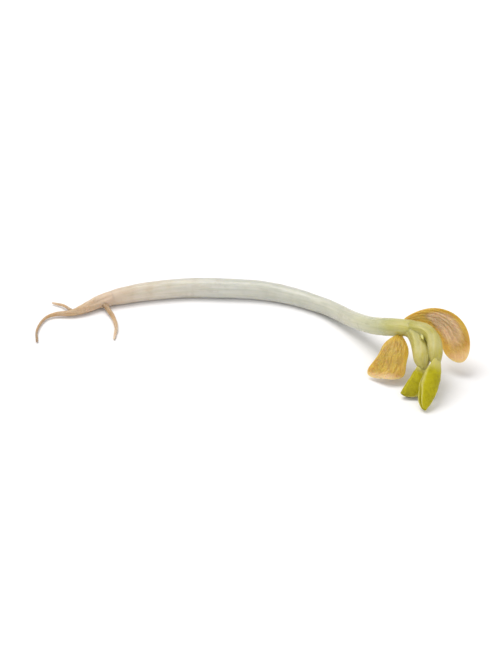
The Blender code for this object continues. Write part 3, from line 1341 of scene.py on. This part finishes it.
class Effects:
    """The shared node groups, each built the first time that it is asked for.

    Attributes:
        groups: the groups built so far.
    """

    def __init__(self) -> None:
        """Starts with none."""
        self.groups: dict[Effect, bpy.types.NodeTree] = {}

    def place(self, bench: Bench, effect: Effect, vector: Socket, **values: float) -> bpy.types.Node:
        """Places an effect in a material.

        Args:
            bench: the material's bench.
            effect: the effect.
            vector: where it is read.
            values: all of its other inputs.

        Returns:
            The group node.
        """
        if effect not in self.groups:
            self.groups[effect] = getattr(self, "_" + effect.name.lower())(effect.value)
        node = bench.add("Group")
        node.node_tree = self.groups[effect]
        bench.feed(node.inputs["Vector"], vector)
        for key, value in values.items():
            bench.feed(node.inputs[key.replace("_", " ")], value)
        return node

    @staticmethod
    def _group(name: str, inputs: tuple[str, ...],
               outputs: tuple[str, ...]) -> tuple[Bench, bpy.types.Node, bpy.types.Node]:
        """A new group with a Vector input, number inputs and number outputs.

        Args:
            name: the group's name.
            inputs: the number inputs.
            outputs: the number outputs.

        Returns:
            Its bench, its input node and its output node.
        """
        tree = bpy.data.node_groups.new(name, "ShaderNodeTree")
        tree.interface.new_socket("Vector", in_out="INPUT", socket_type="NodeSocketVector")
        for key in inputs:
            tree.interface.new_socket(key, in_out="INPUT", socket_type="NodeSocketFloat")
        for key in outputs:
            tree.interface.new_socket(key, in_out="OUTPUT", socket_type="NodeSocketFloat")
        bench = Bench(tree)
        return bench, bench.add("NodeGroupInput"), bench.add("NodeGroupOutput")

    def _fibres(self, name: str) -> bpy.types.NodeTree:
        """Cell lines that run along the organ: noise squeezed across and drawn out along, at two sizes.

        Args:
            name: the group's name.

        Returns:
            The group.
        """
        bench, source, sink = self._group(name, ("Across", "Along"), ("Streaks", "Height"))
        across = source.outputs["Across"]
        scale = bench.add("CombineXYZ", X=across, Y=across, Z=source.outputs["Along"])
        drawn = bench.stretch(source.outputs["Vector"], scale.outputs["Vector"])
        broad = bench.noise(drawn, 1.0, 2.0, 0.5)
        fine = bench.noise(drawn, 3.7, 2.0, 0.6)
        both = bench.math("ADD", bench.times(broad, 0.6), bench.times(fine, 0.4))
        bench.feed(sink.inputs["Streaks"], bench.span(both, 0.38, 0.64))
        bench.feed(sink.inputs["Height"], both)
        return bench.tree

    def _clouds(self, name: str) -> bpy.types.NodeTree:
        """Slow cloudy patches, and small sparse specks.

        Args:
            name: the group's name.

        Returns:
            The group.
        """
        bench, source, sink = self._group(name, ("Patch", "Speck"), ("Patches", "Specks"))
        patches = bench.noise(source.outputs["Vector"], source.outputs["Patch"], 3.0, 0.55, 0.4)
        specks = bench.noise(source.outputs["Vector"], source.outputs["Speck"], 2.0, 0.6)
        bench.feed(sink.inputs["Patches"], bench.span(patches, 0.33, 0.67))
        bench.feed(sink.inputs["Specks"], bench.span(specks, 0.62, 0.74))
        return bench.tree

    def _wrinkles(self, name: str) -> bpy.types.NodeTree:
        """Winding creases: 1 less sharpness * the distance of a warped noise from its middle, at two sizes.

        Args:
            name: the group's name.

        Returns:
            The group.
        """
        bench, source, sink = self._group(name, ("Scale", "Sharpness"), ("Creases", "Height"))
        broad = bench.noise(source.outputs["Vector"], source.outputs["Scale"], 2.0, 0.5, 0.6)
        finer = bench.times(source.outputs["Scale"], 2.7)
        fine = bench.noise(source.outputs["Vector"], finer, 2.0, 0.5, 0.4)
        lines = []
        for value in (broad, fine):
            apart = bench.math("ABSOLUTE", bench.math("SUBTRACT", value, 0.5))
            fall = bench.times(apart, source.outputs["Sharpness"])
            lines.append(bench.math("SUBTRACT", 1.0, fall, clamp=True))
        both = bench.math("MAXIMUM", lines[0], bench.times(lines[1], 0.55))
        bench.feed(sink.inputs["Creases"], both)
        bench.feed(sink.inputs["Height"], bench.math("SUBTRACT", 1.0, both))
        return bench.tree

    def _pores(self, name: str) -> bpy.types.NodeTree:
        """Small rounded cells, which break up the gloss.

        Args:
            name: the group's name.

        Returns:
            The group.
        """
        bench, source, sink = self._group(name, ("Size",), ("Cells", "Height"))
        cells = bench.add("TexVoronoi", {"feature": "SMOOTH_F1"}, Vector=source.outputs["Vector"],
                          Scale=source.outputs["Size"], Smoothness=0.6)
        bench.feed(sink.inputs["Cells"], bench.span(cells.outputs["Distance"], 0.1, 0.7))
        bench.feed(sink.inputs["Height"], bench.math("SUBTRACT", 1.0, cells.outputs["Distance"]))
        return bench.tree


@dataclass(frozen=True)
class Flesh:
    """How light goes into the tissue and how moist its skin is.

    Attributes:
        depth: the share of light that enters.
        reach: how far red, green and blue light travel, relative to each other.
        scale: how far the light travels, in millimetres.
        moisture: the clear coat of moisture.
        coat_roughness: that coat's roughness.
        gloss: the strength of the skin's own reflection.
    """

    depth: float
    reach: Colour
    scale: float
    moisture: float
    coat_roughness: float
    gloss: float = 0.5


@dataclass(frozen=True)
class Finish:
    """A material of plant tissue, dressed by a subclass.

    Attributes:
        name: the material's name.
        flesh: how light goes into it.
        roughness: the roughness where its mask is 0 and where it is 1.
    """

    name: str
    flesh: Flesh
    roughness: tuple[float, float]

    def dress(self, bench: Bench, effects: Effects) -> tuple[object, object, Heights]:
        """The colour, the roughness mask and the heights of the surface, which a subclass gives."""
        raise NotImplementedError

    def material(self, effects: Effects) -> bpy.types.Material:
        """Builds the material.

        Args:
            effects: the shared node groups.

        Returns:
            The material.
        """
        material = bpy.data.materials.new(self.name)
        material.use_nodes = True
        shader = material.node_tree.nodes["Principled BSDF"]
        bench = Bench(material.node_tree)
        colour, dull, heights = self.dress(bench, effects)
        bench.feed(shader.inputs["Base Color"], colour)
        bench.feed(shader.inputs["Roughness"], bench.span(dull, 0.0, 1.0, *self.roughness))
        normal = None
        for height, depth in heights:
            bump = bench.add("Bump", Height=height, Distance=depth * MM, Strength=1.0)
            if normal is not None:
                bench.feed(bump.inputs["Normal"], normal)
            normal = bump.outputs["Normal"]
        bench.feed(shader.inputs["Normal"], normal)
        shader.inputs["Subsurface Weight"].default_value = self.flesh.depth
        shader.inputs["Subsurface Radius"].default_value = self.flesh.reach
        shader.inputs["Subsurface Scale"].default_value = self.flesh.scale * MM
        shader.inputs["Coat Weight"].default_value = self.flesh.moisture
        shader.inputs["Coat Roughness"].default_value = self.flesh.coat_roughness
        shader.inputs["Specular IOR Level"].default_value = self.flesh.gloss
        shader.inputs["IOR"].default_value = TISSUE_IOR
        return material


@dataclass(frozen=True)
class StemFinish(Finish):
    """Fibrous tissue whose colour changes along the organ, with lengthwise streaks and a few bruises.

    Attributes:
        colours: the ramp of colours along the organ.
        bruise: the colour of a bruise.
        bruise_share: how strong the bruises are.
        bruise_span: the shares of the way along where bruises are absent and where they are at full strength.
        streak: the tint of a streak.
        streak_share: how strong the streaks are.
        milk: the light that milky patches add.
        milk_share: how strong the milky patches are.
        hair_share: how strong the finer streaks are.
        hair_scales: how much finer they are across the organ and along it.
        settled: the shares of the way along where streaks and milk start and where they are at full strength;
            below 0 they are at full strength all along.
        across: the scale of the streaks across the organ, to a millimetre.
        along: their scale along it, to a millimetre.
        depths: the depths of the streaks, the finer streaks and the skin cells.
    """

    colours: Stops
    bruise: Colour
    bruise_share: float
    bruise_span: tuple[float, float]
    streak: Colour = (0.74, 0.80, 0.72)
    streak_share: float = 0.5
    milk: Colour = (0.22, 0.20, 0.18)
    milk_share: float = 0.5
    hair_share: float = 0.2
    hair_scales: tuple[float, float] = (3.3, 2.5)
    settled: tuple[float, float] = (-1.0, -0.5)
    across: float = 2.4
    along: float = 0.09
    depths: tuple[float, float, float] = (0.20, 0.05, 0.005)

    def dress(self, bench: Bench, effects: Effects) -> tuple[object, object, Heights]:
        """A ramp along the organ, tinted by fibres, clouded with milk and specked with bruises.

        Args:
            bench: the material's bench.
            effects: the shared node groups.

        Returns:
            The colour, the roughness mask and the heights of the surface.
        """
        skin = bench.mark(Mark.SKIN).outputs["Vector"]
        along = bench.mark(Mark.ALONG).outputs["Fac"]
        place = bench.add("TexCoord").outputs["Object"]
        fibres = effects.place(bench, Effect.FIBRES, skin, Across=self.across, Along=self.along)
        across, down = self.across * self.hair_scales[0], self.along * self.hair_scales[1]
        hairs = effects.place(bench, Effect.FIBRES, skin, Across=across, Along=down)
        clouds = effects.place(bench, Effect.CLOUDS, place, Patch=420.0, Speck=1500.0)
        cells = effects.place(bench, Effect.PORES, skin, Size=5.5)
        colour = bench.ramp(bench.stray(along, clouds.outputs["Patches"], 0.05), self.colours)
        settled = bench.span(along, *self.settled)
        streaks = bench.times(fibres.outputs["Streaks"], self.streak_share, settled)
        colour = bench.blend(streaks, colour, self.streak, "MULTIPLY")
        milky = bench.times(clouds.outputs["Patches"], self.milk_share, settled)
        colour = bench.blend(milky, colour, self.milk, "SCREEN")
        combed = bench.times(hairs.outputs["Streaks"], self.hair_share, settled)
        colour = bench.blend(combed, colour, self.streak, "MULTIPLY")
        near = bench.span(along, *self.bruise_span)
        bruised = bench.times(clouds.outputs["Specks"], near, self.bruise_share)
        colour = bench.blend(bruised, colour, self.bruise)
        dull = bench.math("ADD", bench.times(fibres.outputs["Streaks"], 0.5),
                          bench.times(clouds.outputs["Patches"], 0.5))
        layers = (fibres, hairs, cells)
        return colour, dull, [(layer.outputs["Height"], depth) for layer, depth in zip(layers, self.depths)]


@dataclass(frozen=True)
class RootFinish(Finish):
    """Root skin: tan, darker and browner to the tip, wrinkled, with pale fibres and painted crease shade.

    Attributes:
        colours: the ramp of colours from the tip to the collar.
        crease: the colour of the painted shade in the creases, and of the specks.
        pale: the colour of the paler lengthwise fibres.
        crease_shade_share: how strong the painted shade in the creases is.
        pale_share: how strong the paler fibres are.
        speck_share: how strong the specks are.
        fades: the shares of the way along where all three are absent and where they are at full strength.
        depths: the depths of the fibres and of the wrinkles.
    """

    colours: Stops
    crease: Colour
    pale: Colour
    crease_shade_share: float = 0.5
    pale_share: float = 0.4
    speck_share: float = 0.35
    fades: tuple[float, float] = (1.0, 0.60)
    depths: tuple[float, float] = (0.20, 0.045)

    def dress(self, bench: Bench, effects: Effects) -> tuple[object, object, Heights]:
        """A ramp along the root, with pale fibres, painted brown shade in its creases, and brown specks.

        Args:
            bench: the material's bench.
            effects: the shared node groups.

        Returns:
            The colour, the roughness mask and the heights of the surface.
        """
        skin = bench.mark(Mark.SKIN).outputs["Vector"]
        along = bench.mark(Mark.ALONG).outputs["Fac"]
        place = bench.add("TexCoord").outputs["Object"]
        fibres = effects.place(bench, Effect.FIBRES, skin, Across=3.4, Along=0.35)
        wrinkles = effects.place(bench, Effect.WRINKLES, skin, Scale=2.2, Sharpness=9.0)
        clouds = effects.place(bench, Effect.CLOUDS, place, Patch=700.0, Speck=2600.0)
        colour = bench.ramp(bench.stray(along, clouds.outputs["Patches"], 0.10), self.colours)
        below_collar = bench.span(along, *self.fades)
        paled = bench.times(fibres.outputs["Streaks"], self.pale_share, below_collar)
        colour = bench.blend(paled, colour, self.pale)
        # Painted shade: the crease colour darkens the wrinkles' grooves, where shade would fall.
        crease_shaded = bench.times(wrinkles.outputs["Creases"], self.crease_shade_share, below_collar)
        colour = bench.blend(crease_shaded, colour, self.crease)
        specked = bench.times(clouds.outputs["Specks"], self.speck_share, below_collar)
        colour = bench.blend(specked, colour, self.crease)
        dull = bench.times(bench.math("ADD", clouds.outputs["Patches"], wrinkles.outputs["Creases"]), 0.6)
        return colour, dull, [
            (fibres.outputs["Height"], self.depths[0]),
            (bench.times(wrinkles.outputs["Height"], below_collar), self.depths[1]),
        ]


@dataclass(frozen=True)
class LeafFinish(Finish):
    """A young blade: yellow-green, with brighter veins, a pale base and a pale thin margin.

    Attributes:
        deep: the darker green.
        bright: the lighter green.
        vein: the colour of veins and fine lines.
        pale: the colour of the base and the margin.
        cell_share: how strong the skin cells are.
        line_share: how strong the fine lines are.
        vein_share: how strong the veins are.
        base_share: how pale the base is.
        base_span: the shares of the way along where the pale base ends and where it is whole.
        margin_share: how pale the margin is.
        margin_span: the shares of the way across where the pale margin starts and where it is whole.
        depths: the depths of the cells and of the fine lines.
    """

    deep: Colour
    bright: Colour
    vein: Colour
    pale: Colour
    cell_share: float = 0.25
    line_share: float = 0.18
    vein_share: float = 0.3
    base_share: float = 0.85
    base_span: tuple[float, float] = (0.32, 0.12)
    margin_share: float = 0.75
    margin_span: tuple[float, float] = (0.88, 0.99)
    depths: tuple[float, float] = (0.03, 0.035)

    def dress(self, bench: Bench, effects: Effects) -> tuple[object, object, Heights]:
        """Two greens in clouds and cells, then veins, then the pale base and margin.

        Args:
            bench: the material's bench.
            effects: the shared node groups.

        Returns:
            The colour, the roughness mask and the heights of the surface.
        """
        skin = bench.mark(Mark.SKIN).outputs["Vector"]
        along = bench.mark(Mark.ALONG).outputs["Fac"]
        rim = bench.mark(Mark.RIM).outputs["Fac"]
        vein = bench.mark(Mark.VEIN).outputs["Fac"]
        place = bench.add("TexCoord").outputs["Object"]
        clouds = effects.place(bench, Effect.CLOUDS, place, Patch=600.0, Speck=2400.0)
        cells = effects.place(bench, Effect.PORES, skin, Size=7.0)
        wrinkles = effects.place(bench, Effect.WRINKLES, skin, Scale=1.6, Sharpness=7.0)
        colour = bench.blend(clouds.outputs["Patches"], self.deep, self.bright)
        colour = bench.blend(bench.times(cells.outputs["Cells"], self.cell_share), colour, self.deep)
        colour = bench.blend(bench.times(wrinkles.outputs["Creases"], self.line_share), colour, self.vein)
        colour = bench.blend(bench.times(vein, self.vein_share), colour, self.vein)
        base = bench.times(bench.span(along, *self.base_span), self.base_share)
        margin = bench.times(bench.span(rim, *self.margin_span), self.margin_share)
        colour = bench.blend(bench.math("MAXIMUM", base, margin), colour, self.pale)
        return colour, clouds.outputs["Patches"], [
            (cells.outputs["Height"], self.depths[0]),
            (wrinkles.outputs["Height"], self.depths[1]),
        ]


@dataclass(frozen=True)
class SeedFinish(Finish):
    """A spent seed half: amber, painted crease shade in brown, golden at rim and neck, pale inside and at its
    tip.

    Attributes:
        amber: its darker colour.
        gold: its lighter colour, and that of its rim and neck.
        brown: the colour of the painted shade in its folds and wrinkles, and of its specks.
        pale: the colour of its hollow and its free end.
        hollow_share: how pale the hollow is.
        hollow_span: the hollow marks where that starts and where it is whole.
        hollow_rim: the rim marks where it ends and up to which it is whole.
        fold_shade_share: how strong the painted brown shade in the folds is.
        wrinkle_shade_share: how strong the painted brown shade in the wrinkles is.
        speck_share: how brown the specks are.
        ripe_share: how golden the rim and the neck are.
        rim_span: the rim marks where the golden rim starts and where it is whole.
        rim_fade: the shares of the way along where the golden rim ends and up to which it is whole.
        neck_span: the shares of the way along where the golden neck ends and where it is whole.
        neck_edge: how much the neck's rim marks are raised by.
        neck_edge_span: the shares of the way along where that ends and up to which it is whole.
        tip_share: how pale the free end is.
        tip_span: the shares of the way along where the pale free end starts and where it is whole.
        depths: the depths of the wrinkles and of the skin cells.
    """

    amber: Colour
    gold: Colour
    brown: Colour
    pale: Colour
    hollow_share: float = 0.85
    hollow_span: tuple[float, float] = (0.55, 0.9)
    hollow_rim: tuple[float, float] = (0.84, 0.54)
    fold_shade_share: float = 0.25
    wrinkle_shade_share: float = 0.15
    speck_share: float = 0.3
    ripe_share: float = 0.6
    rim_span: tuple[float, float] = (0.62, 0.92)
    rim_fade: tuple[float, float] = (1.0, 0.5)
    neck_span: tuple[float, float] = (0.30, 0.0)
    neck_edge: float = 0.30
    neck_edge_span: tuple[float, float] = (0.55, 0.10)
    tip_share: float = 0.6
    tip_span: tuple[float, float] = (0.86, 0.97)
    depths: tuple[float, float] = (0.07, 0.02)

    def dress(self, bench: Bench, effects: Effects) -> tuple[object, object, Heights]:
        """Amber-gold clouds, pale hollow, painted brown shade in lines, brown specks, golden rim and neck,
        pale tip.

        Args:
            bench: the material's bench.
            effects: the shared node groups.

        Returns:
            The colour, the roughness mask and the heights of the surface.
        """
        skin = bench.mark(Mark.SKIN).outputs["Vector"]
        rim = bench.mark(Mark.RIM).outputs["Fac"]
        crease = bench.mark(Mark.CREASE).outputs["Fac"]
        hollow = bench.mark(Mark.HOLLOW).outputs["Fac"]
        along = bench.mark(Mark.ALONG).outputs["Fac"]
        place = bench.add("TexCoord").outputs["Object"]
        clouds = effects.place(bench, Effect.CLOUDS, place, Patch=520.0, Speck=1900.0)
        wrinkles = effects.place(bench, Effect.WRINKLES, skin, Scale=1.5, Sharpness=8.0)
        cells = effects.place(bench, Effect.PORES, skin, Size=6.0)
        colour = bench.blend(clouds.outputs["Patches"], self.amber, self.gold)
        edge = bench.math("ADD", rim, bench.span(along, *self.neck_edge_span, 0.0, self.neck_edge))
        inside = bench.times(bench.span(hollow, *self.hollow_span), bench.span(edge, *self.hollow_rim))
        colour = bench.blend(bench.times(inside, self.hollow_share), colour, self.pale)
        # Painted shade: brown darkens the folds and wrinkles, where shade would fall; the specks are the
        # seed's own brown.
        for brown, share in ((crease, self.fold_shade_share), (wrinkles.outputs["Creases"], self.wrinkle_shade_share),
                             (clouds.outputs["Specks"], self.speck_share)):
            colour = bench.blend(bench.times(brown, share), colour, self.brown)
        golden_rim = bench.times(bench.span(edge, *self.rim_span), bench.span(along, *self.rim_fade))
        ripe = bench.math("MAXIMUM", bench.span(along, *self.neck_span), golden_rim)
        colour = bench.blend(bench.times(ripe, self.ripe_share), colour, self.gold)
        tip = bench.times(bench.span(along, *self.tip_span), self.tip_share)
        colour = bench.blend(tip, colour, self.pale)
        dull = bench.times(bench.math("ADD", clouds.outputs["Patches"], crease), 0.5)
        return colour, dull, [
            (wrinkles.outputs["Height"], self.depths[0]),
            (cells.outputs["Height"], self.depths[1]),
        ]


WHITE_STEM = StemFinish(
    name="white_stem",
    flesh=Flesh(depth=0.8, reach=(1.0, 0.86, 0.55), scale=1.1, moisture=0.45, coat_roughness=0.14),
    roughness=(0.26, 0.46),
    colours=(
        (0.00, (0.60, 0.46, 0.34)),
        (0.05, (0.60, 0.49, 0.38)),
        (0.10, (0.61, 0.52, 0.42)),
        (0.20, (0.59, 0.54, 0.46)),
        (0.34, (0.56, 0.55, 0.50)),
        (0.60, (0.55, 0.54, 0.475)),
        (0.80, (0.56, 0.54, 0.44)),
        (0.92, (0.53, 0.52, 0.34)),
        (1.00, (0.49, 0.48, 0.24)),
    ),
    bruise=(0.50, 0.34, 0.20),
    bruise_share=0.25,
    bruise_span=(0.50, 0.0),
    settled=(0.0, 0.09),
)
STALK_FLESH = Flesh(depth=0.8, reach=(1.0, 0.88, 0.40), scale=1.0, moisture=0.40, coat_roughness=0.15)
GREEN_STALK = StemFinish(
    name="green_stalk",
    flesh=STALK_FLESH,
    roughness=(0.26, 0.46),
    colours=(
        (0.00, (0.515, 0.50, 0.29)),
        (0.12, (0.49, 0.48, 0.24)),
        (0.35, (0.47, 0.44, 0.14)),
        (0.65, (0.48, 0.43, 0.09)),
        (1.00, (0.47, 0.41, 0.07)),
    ),
    bruise=(0.36, 0.30, 0.06),
    bruise_share=0.2,
    bruise_span=(0.1, 0.5),
)
LEAF_STALK = StemFinish(
    name="leaf_stalk",
    flesh=STALK_FLESH,
    roughness=(0.26, 0.46),
    colours=(
        (0.00, (0.47, 0.415, 0.08)),
        (0.35, (0.45, 0.39, 0.06)),
        (0.70, (0.49, 0.425, 0.09)),
        (1.00, (0.44, 0.37, 0.04)),
    ),
    bruise=(0.36, 0.30, 0.06),
    bruise_share=0.2,
    bruise_span=(0.2, 0.7),
)
ROOT_TAN = RootFinish(
    name="root_tan",
    flesh=Flesh(depth=0.7, reach=(1.0, 0.75, 0.48), scale=0.9, moisture=0.3, coat_roughness=0.25),
    roughness=(0.30, 0.52),
    colours=(
        (0.00, (0.24, 0.15, 0.07)),
        (0.25, (0.44, 0.29, 0.13)),
        (0.45, (0.58, 0.39, 0.19)),
        (0.65, (0.60, 0.43, 0.26)),
        (0.88, (0.60, 0.46, 0.33)),
        (1.00, (0.60, 0.46, 0.34)),
    ),
    crease=(0.36, 0.21, 0.10),
    pale=(0.74, 0.60, 0.45),
)
LEAF_GREEN = LeafFinish(
    name="leaf_green",
    flesh=Flesh(depth=0.5, reach=(1.0, 1.0, 0.10), scale=0.6, moisture=0.05, coat_roughness=0.3, gloss=0.18),
    roughness=(0.42, 0.60),
    deep=(0.32, 0.275, 0.002),
    bright=(0.46, 0.41, 0.004),
    vein=(0.46, 0.41, 0.02),
    pale=(0.56, 0.50, 0.16),
)
SEED_AMBER = SeedFinish(
    name="seed_amber",
    flesh=Flesh(depth=0.7, reach=(1.0, 0.6, 0.25), scale=0.8, moisture=0.3, coat_roughness=0.25),
    roughness=(0.32, 0.56),
    amber=(0.48, 0.30, 0.05),
    gold=(0.62, 0.43, 0.05),
    brown=(0.38, 0.22, 0.06),
    pale=(0.74, 0.53, 0.34),
)


# ---------------------------------------------------------------------------------------------------------
# The whole sprout, and its studio
# ---------------------------------------------------------------------------------------------------------


@dataclass(frozen=True)
class Sprout:
    """Every organ of the sprout.

    Attributes:
        axis: the route of the root, the stem and the green stalk.
        leaves: the two first leaves.
        seed_halves: the two spent seed halves.
        side_roots: the stations of each side root.
        bud: the shoot's bud.
    """

    axis: Route = Route(AXIS_STATIONS)
    leaves: tuple[FoldedLeaf, ...] = (
        FoldedLeaf(
            side="left",
            stalk=(
                (24.4, -25.1, 6.20, 1.00), (25.7, -26.5, 6.20, 1.12), (26.4, -27.9, 5.65, 1.22),
                (26.7, -29.2, 5.05, 1.30), (26.85, -30.5, 4.65, 1.32), (26.95, -31.8, 4.25, 1.20),
                (27.05, -33.0, 3.80, 0.72),
            ),
            midrib=Bow(
                ((26.75, -32.3, 4.2), (25.2, -34.05, 2.7), (23.65, -35.6, 0.75)), (0.77, -0.30, -0.56),
            ),
            depth=2.9, half_width=0.80, widest=0.55, seed=201,
        ),
        FoldedLeaf(
            side="right",
            stalk=(
                (24.6, -25.15, 6.35, 1.12), (26.4, -26.5, 6.73, 1.24), (27.7, -27.6, 6.84, 1.18),
                (28.5, -28.85, 6.60, 1.08), (28.85, -30.3, 6.03, 1.10), (28.9, -31.83, 5.20, 1.04),
                (28.85, -33.13, 4.58, 0.68),
            ),
            midrib=Bow(
                ((29.35, -32.4, 4.95), (29.9, -37.0, 2.7), (27.0, -40.0, 0.42)), (-0.94, -0.10, 0.30),
            ),
            depth=2.6, half_width=0.72, widest=0.52, seed=211,
        ),
    )
    seed_halves: tuple[SeedHalf, ...] = (
        SeedHalf(
            side="near",
            bow=Bow(
                ((23.7, -25.35, 5.45), (23.0, -28.7, 4.25), (20.9, -31.4, 1.0)), (0.2, 0.5, -0.9),
            ),
            half_width=3.4, taper=1.0, seed=301, blunt=0.4, slant=0.9,
        ),
        SeedHalf(
            side="far",
            bow=Bow(
                ((24.2, -24.0, 6.7), (31.95, -20.6, 8.9), (33.08, -28.7, 2.2)), (-0.35, -0.90, 0.30),
            ),
            half_width=3.2, taper=2.0, seed=311,
        ),
    )
    side_roots: tuple[tuple[Station, ...], ...] = (
        (
            (-21.35, -7.75, 0.85, 0.36), (-20.2, -10.4, 0.52, 0.32), (-19.5, -13.8, 0.36, 0.26),
            (-19.7, -17.6, 0.30, 0.17),
        ),
        ((-26.9, -8.75, 0.72, 0.26), (-28.0, -6.9, 0.50, 0.22), (-29.9, -5.6, 0.32, 0.15)),
    )
    bud: ShootBud = ShootBud()

    def tubes(self) -> tuple[tuple[Tube, Finish], ...]:
        """The tube organs.

        Returns:
            Each organ with its finish.
        """
        stem = WhiteStem(
            "stem_white", "hypocotyl", Slot.WHITE_STEM, self.axis, COLLAR, SEED_JOINT,
            margins=(0.0, 0.0), caps=(0.28, 0.5), rows=600, columns=112, girth=1.4,
        )
        root = TapRoot(
            "root_main", "taproot", Slot.ROOT_TAN, self.axis, ROOT_TIP, COLLAR,
            margins=(0.0, -ROOT_OVERLAP), caps=(0.35, 0.3), rows=420, columns=72, girth=0.7,
        )
        stalk = GreenStalk(
            "stalk_green", "epicotyl", Slot.GREEN_STALK, self.axis, SEED_JOINT, FORK,
            margins=(-STALK_OVERLAP, 0.5), caps=(0.3, 1.1), rows=150, columns=88, girth=1.4,
            marks_from=self.axis.length(COLLAR, SEED_JOINT) - STALK_OVERLAP,
        )
        side_roots = []
        for number, stations in enumerate(self.side_roots, start=1):
            side_root = SideRoot(
                f"root_side_{number}", f"lateral_root_{number}", Slot.ROOT_TAN, Route(stations, softness=0.3),
                0, len(stations) - 1, margins=(-0.5, 0.0), caps=(0.2, 0.25), rows=160, columns=40, girth=0.3,
                seed=70 + number,
            )
            side_roots.append((side_root, ROOT_TAN))
        return ((stem, WHITE_STEM), (root, ROOT_TAN), (stalk, GREEN_STALK), *side_roots)

    def build(self, effects: Effects) -> None:
        """Makes every piece.

        Args:
            effects: the shared node groups.
        """
        finishes = (WHITE_STEM, GREEN_STALK, LEAF_STALK, ROOT_TAN, LEAF_GREEN, SEED_AMBER)
        materials = {finish.name: finish.material(effects) for finish in finishes}
        for tube, finish in self.tubes():
            tube.build(materials[finish.name])
        for leaf in self.leaves:
            leaf.build(materials["leaf_green"], materials["leaf_stalk"])
        for seed_half in self.seed_halves:
            seed_half.build(materials["seed_amber"])
        self.bud.build(materials["green_stalk"])


@dataclass(frozen=True)
class Lamp:
    """A square soft lamp that looks at the sprout.

    Attributes:
        name: its name.
        place: where it is, in metres.
        size: its side, in metres.
        power: its power, in watts.
        colour: its colour.
    """

    name: str
    place: Point
    size: float
    power: float
    colour: Colour

    def build(self) -> None:
        """Makes the lamp and turns it to the origin."""
        lamp = bpy.data.lights.new(self.name, "AREA")
        lamp.size = self.size
        lamp.energy = self.power
        lamp.color = self.colour
        holder = bpy.data.objects.new(self.name, lamp)
        holder.location = self.place
        away = Vector(self.place).normalized()
        holder.rotation_mode = "QUATERNION"
        holder.rotation_quaternion = away.to_track_quat("Z", "Y")
        bpy.context.scene.collection.objects.link(holder)


@dataclass(frozen=True)
class Studio:
    """A plain pale floor, soft light and the camera.

    Attributes:
        elevation: the camera's height above the horizon, in degrees.
        lens: its focal length, in millimetres.
        fill: the share of the frame's width that the sprout takes.
        aspect: the frame's width by its height.
        floor_span: the floor's side, in metres.
        floor_colour: the floor's lighter tone.
        floor_shade: its darker tone, as a share of the lighter one.
        floor_clouds: the scale of the clouds that its tones follow, to a metre.
        floor_roughness: its least and greatest roughness.
        sky: the colour of the light from all round.
        sky_strength: how strong that light is.
        lamps: the lamp above and behind, and the one in front.
    """

    elevation: float = 28.0
    lens: float = 180.0
    fill: float = 0.87
    aspect: float = 500 / 650
    floor_span: float = 3.0
    floor_colour: Colour = (0.90, 0.89, 0.90)
    floor_shade: float = 0.985
    floor_clouds: float = 14.0
    floor_roughness: tuple[float, float] = (0.55, 0.65)
    sky: Colour = (1.0, 1.0, 1.0)
    sky_strength: float = 0.66
    lamps: tuple[Lamp, Lamp] = (
        Lamp("key", place=(-0.16, 0.12, 0.48), size=0.40, power=1.9, colour=(1.0, 0.99, 0.97)),
        Lamp("front", place=(0.10, -0.50, 0.24), size=0.45, power=0.8, colour=(0.98, 0.99, 1.0)),
    )

    def build(self) -> None:
        """Makes the floor, the lights, the world and the camera."""
        self.make_floor()
        self.make_sky()
        for lamp in self.lamps:
            lamp.build()
        self.make_camera()
        bpy.context.scene.view_settings.view_transform = "Standard"

    def make_floor(self) -> None:
        """A flat floor at z = 0 in a plain pale finish."""
        half = self.floor_span / 2
        mesh = bpy.data.meshes.new("floor")
        corners = [(-half, -half, 0), (half, -half, 0), (half, half, 0), (-half, half, 0)]
        mesh.from_pydata(corners, [], [(0, 1, 2, 3)])
        material = bpy.data.materials.new("floor_pale")
        material.use_nodes = True
        bench = Bench(material.node_tree)
        shader = material.node_tree.nodes["Principled BSDF"]
        place = bench.add("TexCoord").outputs["Object"]
        tone = bench.noise(place, self.floor_clouds, detail=3.0)
        deep = tuple(self.floor_shade * value for value in self.floor_colour)
        bench.feed(shader.inputs["Base Color"], bench.blend(tone, deep, self.floor_colour))
        bench.feed(shader.inputs["Roughness"], bench.span(tone, 0.3, 0.7, *self.floor_roughness))
        mesh.materials.append(material)
        floor = bpy.data.objects.new("floor", mesh)
        bpy.context.scene.collection.objects.link(floor)
        floor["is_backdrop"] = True

    def make_sky(self) -> None:
        """An even white light from all round."""
        world = bpy.data.worlds.new("soft_box")
        world.use_nodes = True
        sky = world.node_tree.nodes["Background"]
        sky.inputs["Color"].default_value = (*self.sky, 1.0)
        sky.inputs["Strength"].default_value = self.sky_strength
        bpy.context.scene.world = world

    def make_camera(self) -> None:
        """A camera that looks along +Y and down, from where the sprout fills its share of the frame."""
        low, high = CAD_BOX
        middle = (low + high) / 2
        camera = bpy.data.cameras.new("camera")
        camera.lens = self.lens
        half_view = camera.sensor_width / 2 / self.lens * self.aspect
        distance = (high.x - low.x) / 2 / self.fill / half_view
        tilt = math.radians(self.elevation)
        holder = bpy.data.objects.new("camera", camera)
        holder.location = middle + Vector((0, -math.cos(tilt), math.sin(tilt))) * distance
        holder.rotation_euler = (math.pi / 2 - tilt, 0, 0)
        camera.clip_start, camera.clip_end = 0.01, 10.0
        bpy.context.scene.collection.objects.link(holder)
        bpy.context.scene.camera = holder


def write_sizes() -> None:
    boxes = {"cad": CAD_BOX, "visual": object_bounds()}
    for key, box in boxes.items():
        corners = [[round(value / MM, 2) for value in corner] for corner in box]
        LOG.info("%s box: %s to %s mm", key, *corners)


def main() -> None:
    """Builds the sprout and its studio, and reports each piece."""
    logging.basicConfig(level=logging.INFO, format="%(message)s", stream=sys.stdout)
    Sprout().build(Effects())
    Studio().build()
    write_sizes()


if __name__ == "__main__":
    main()
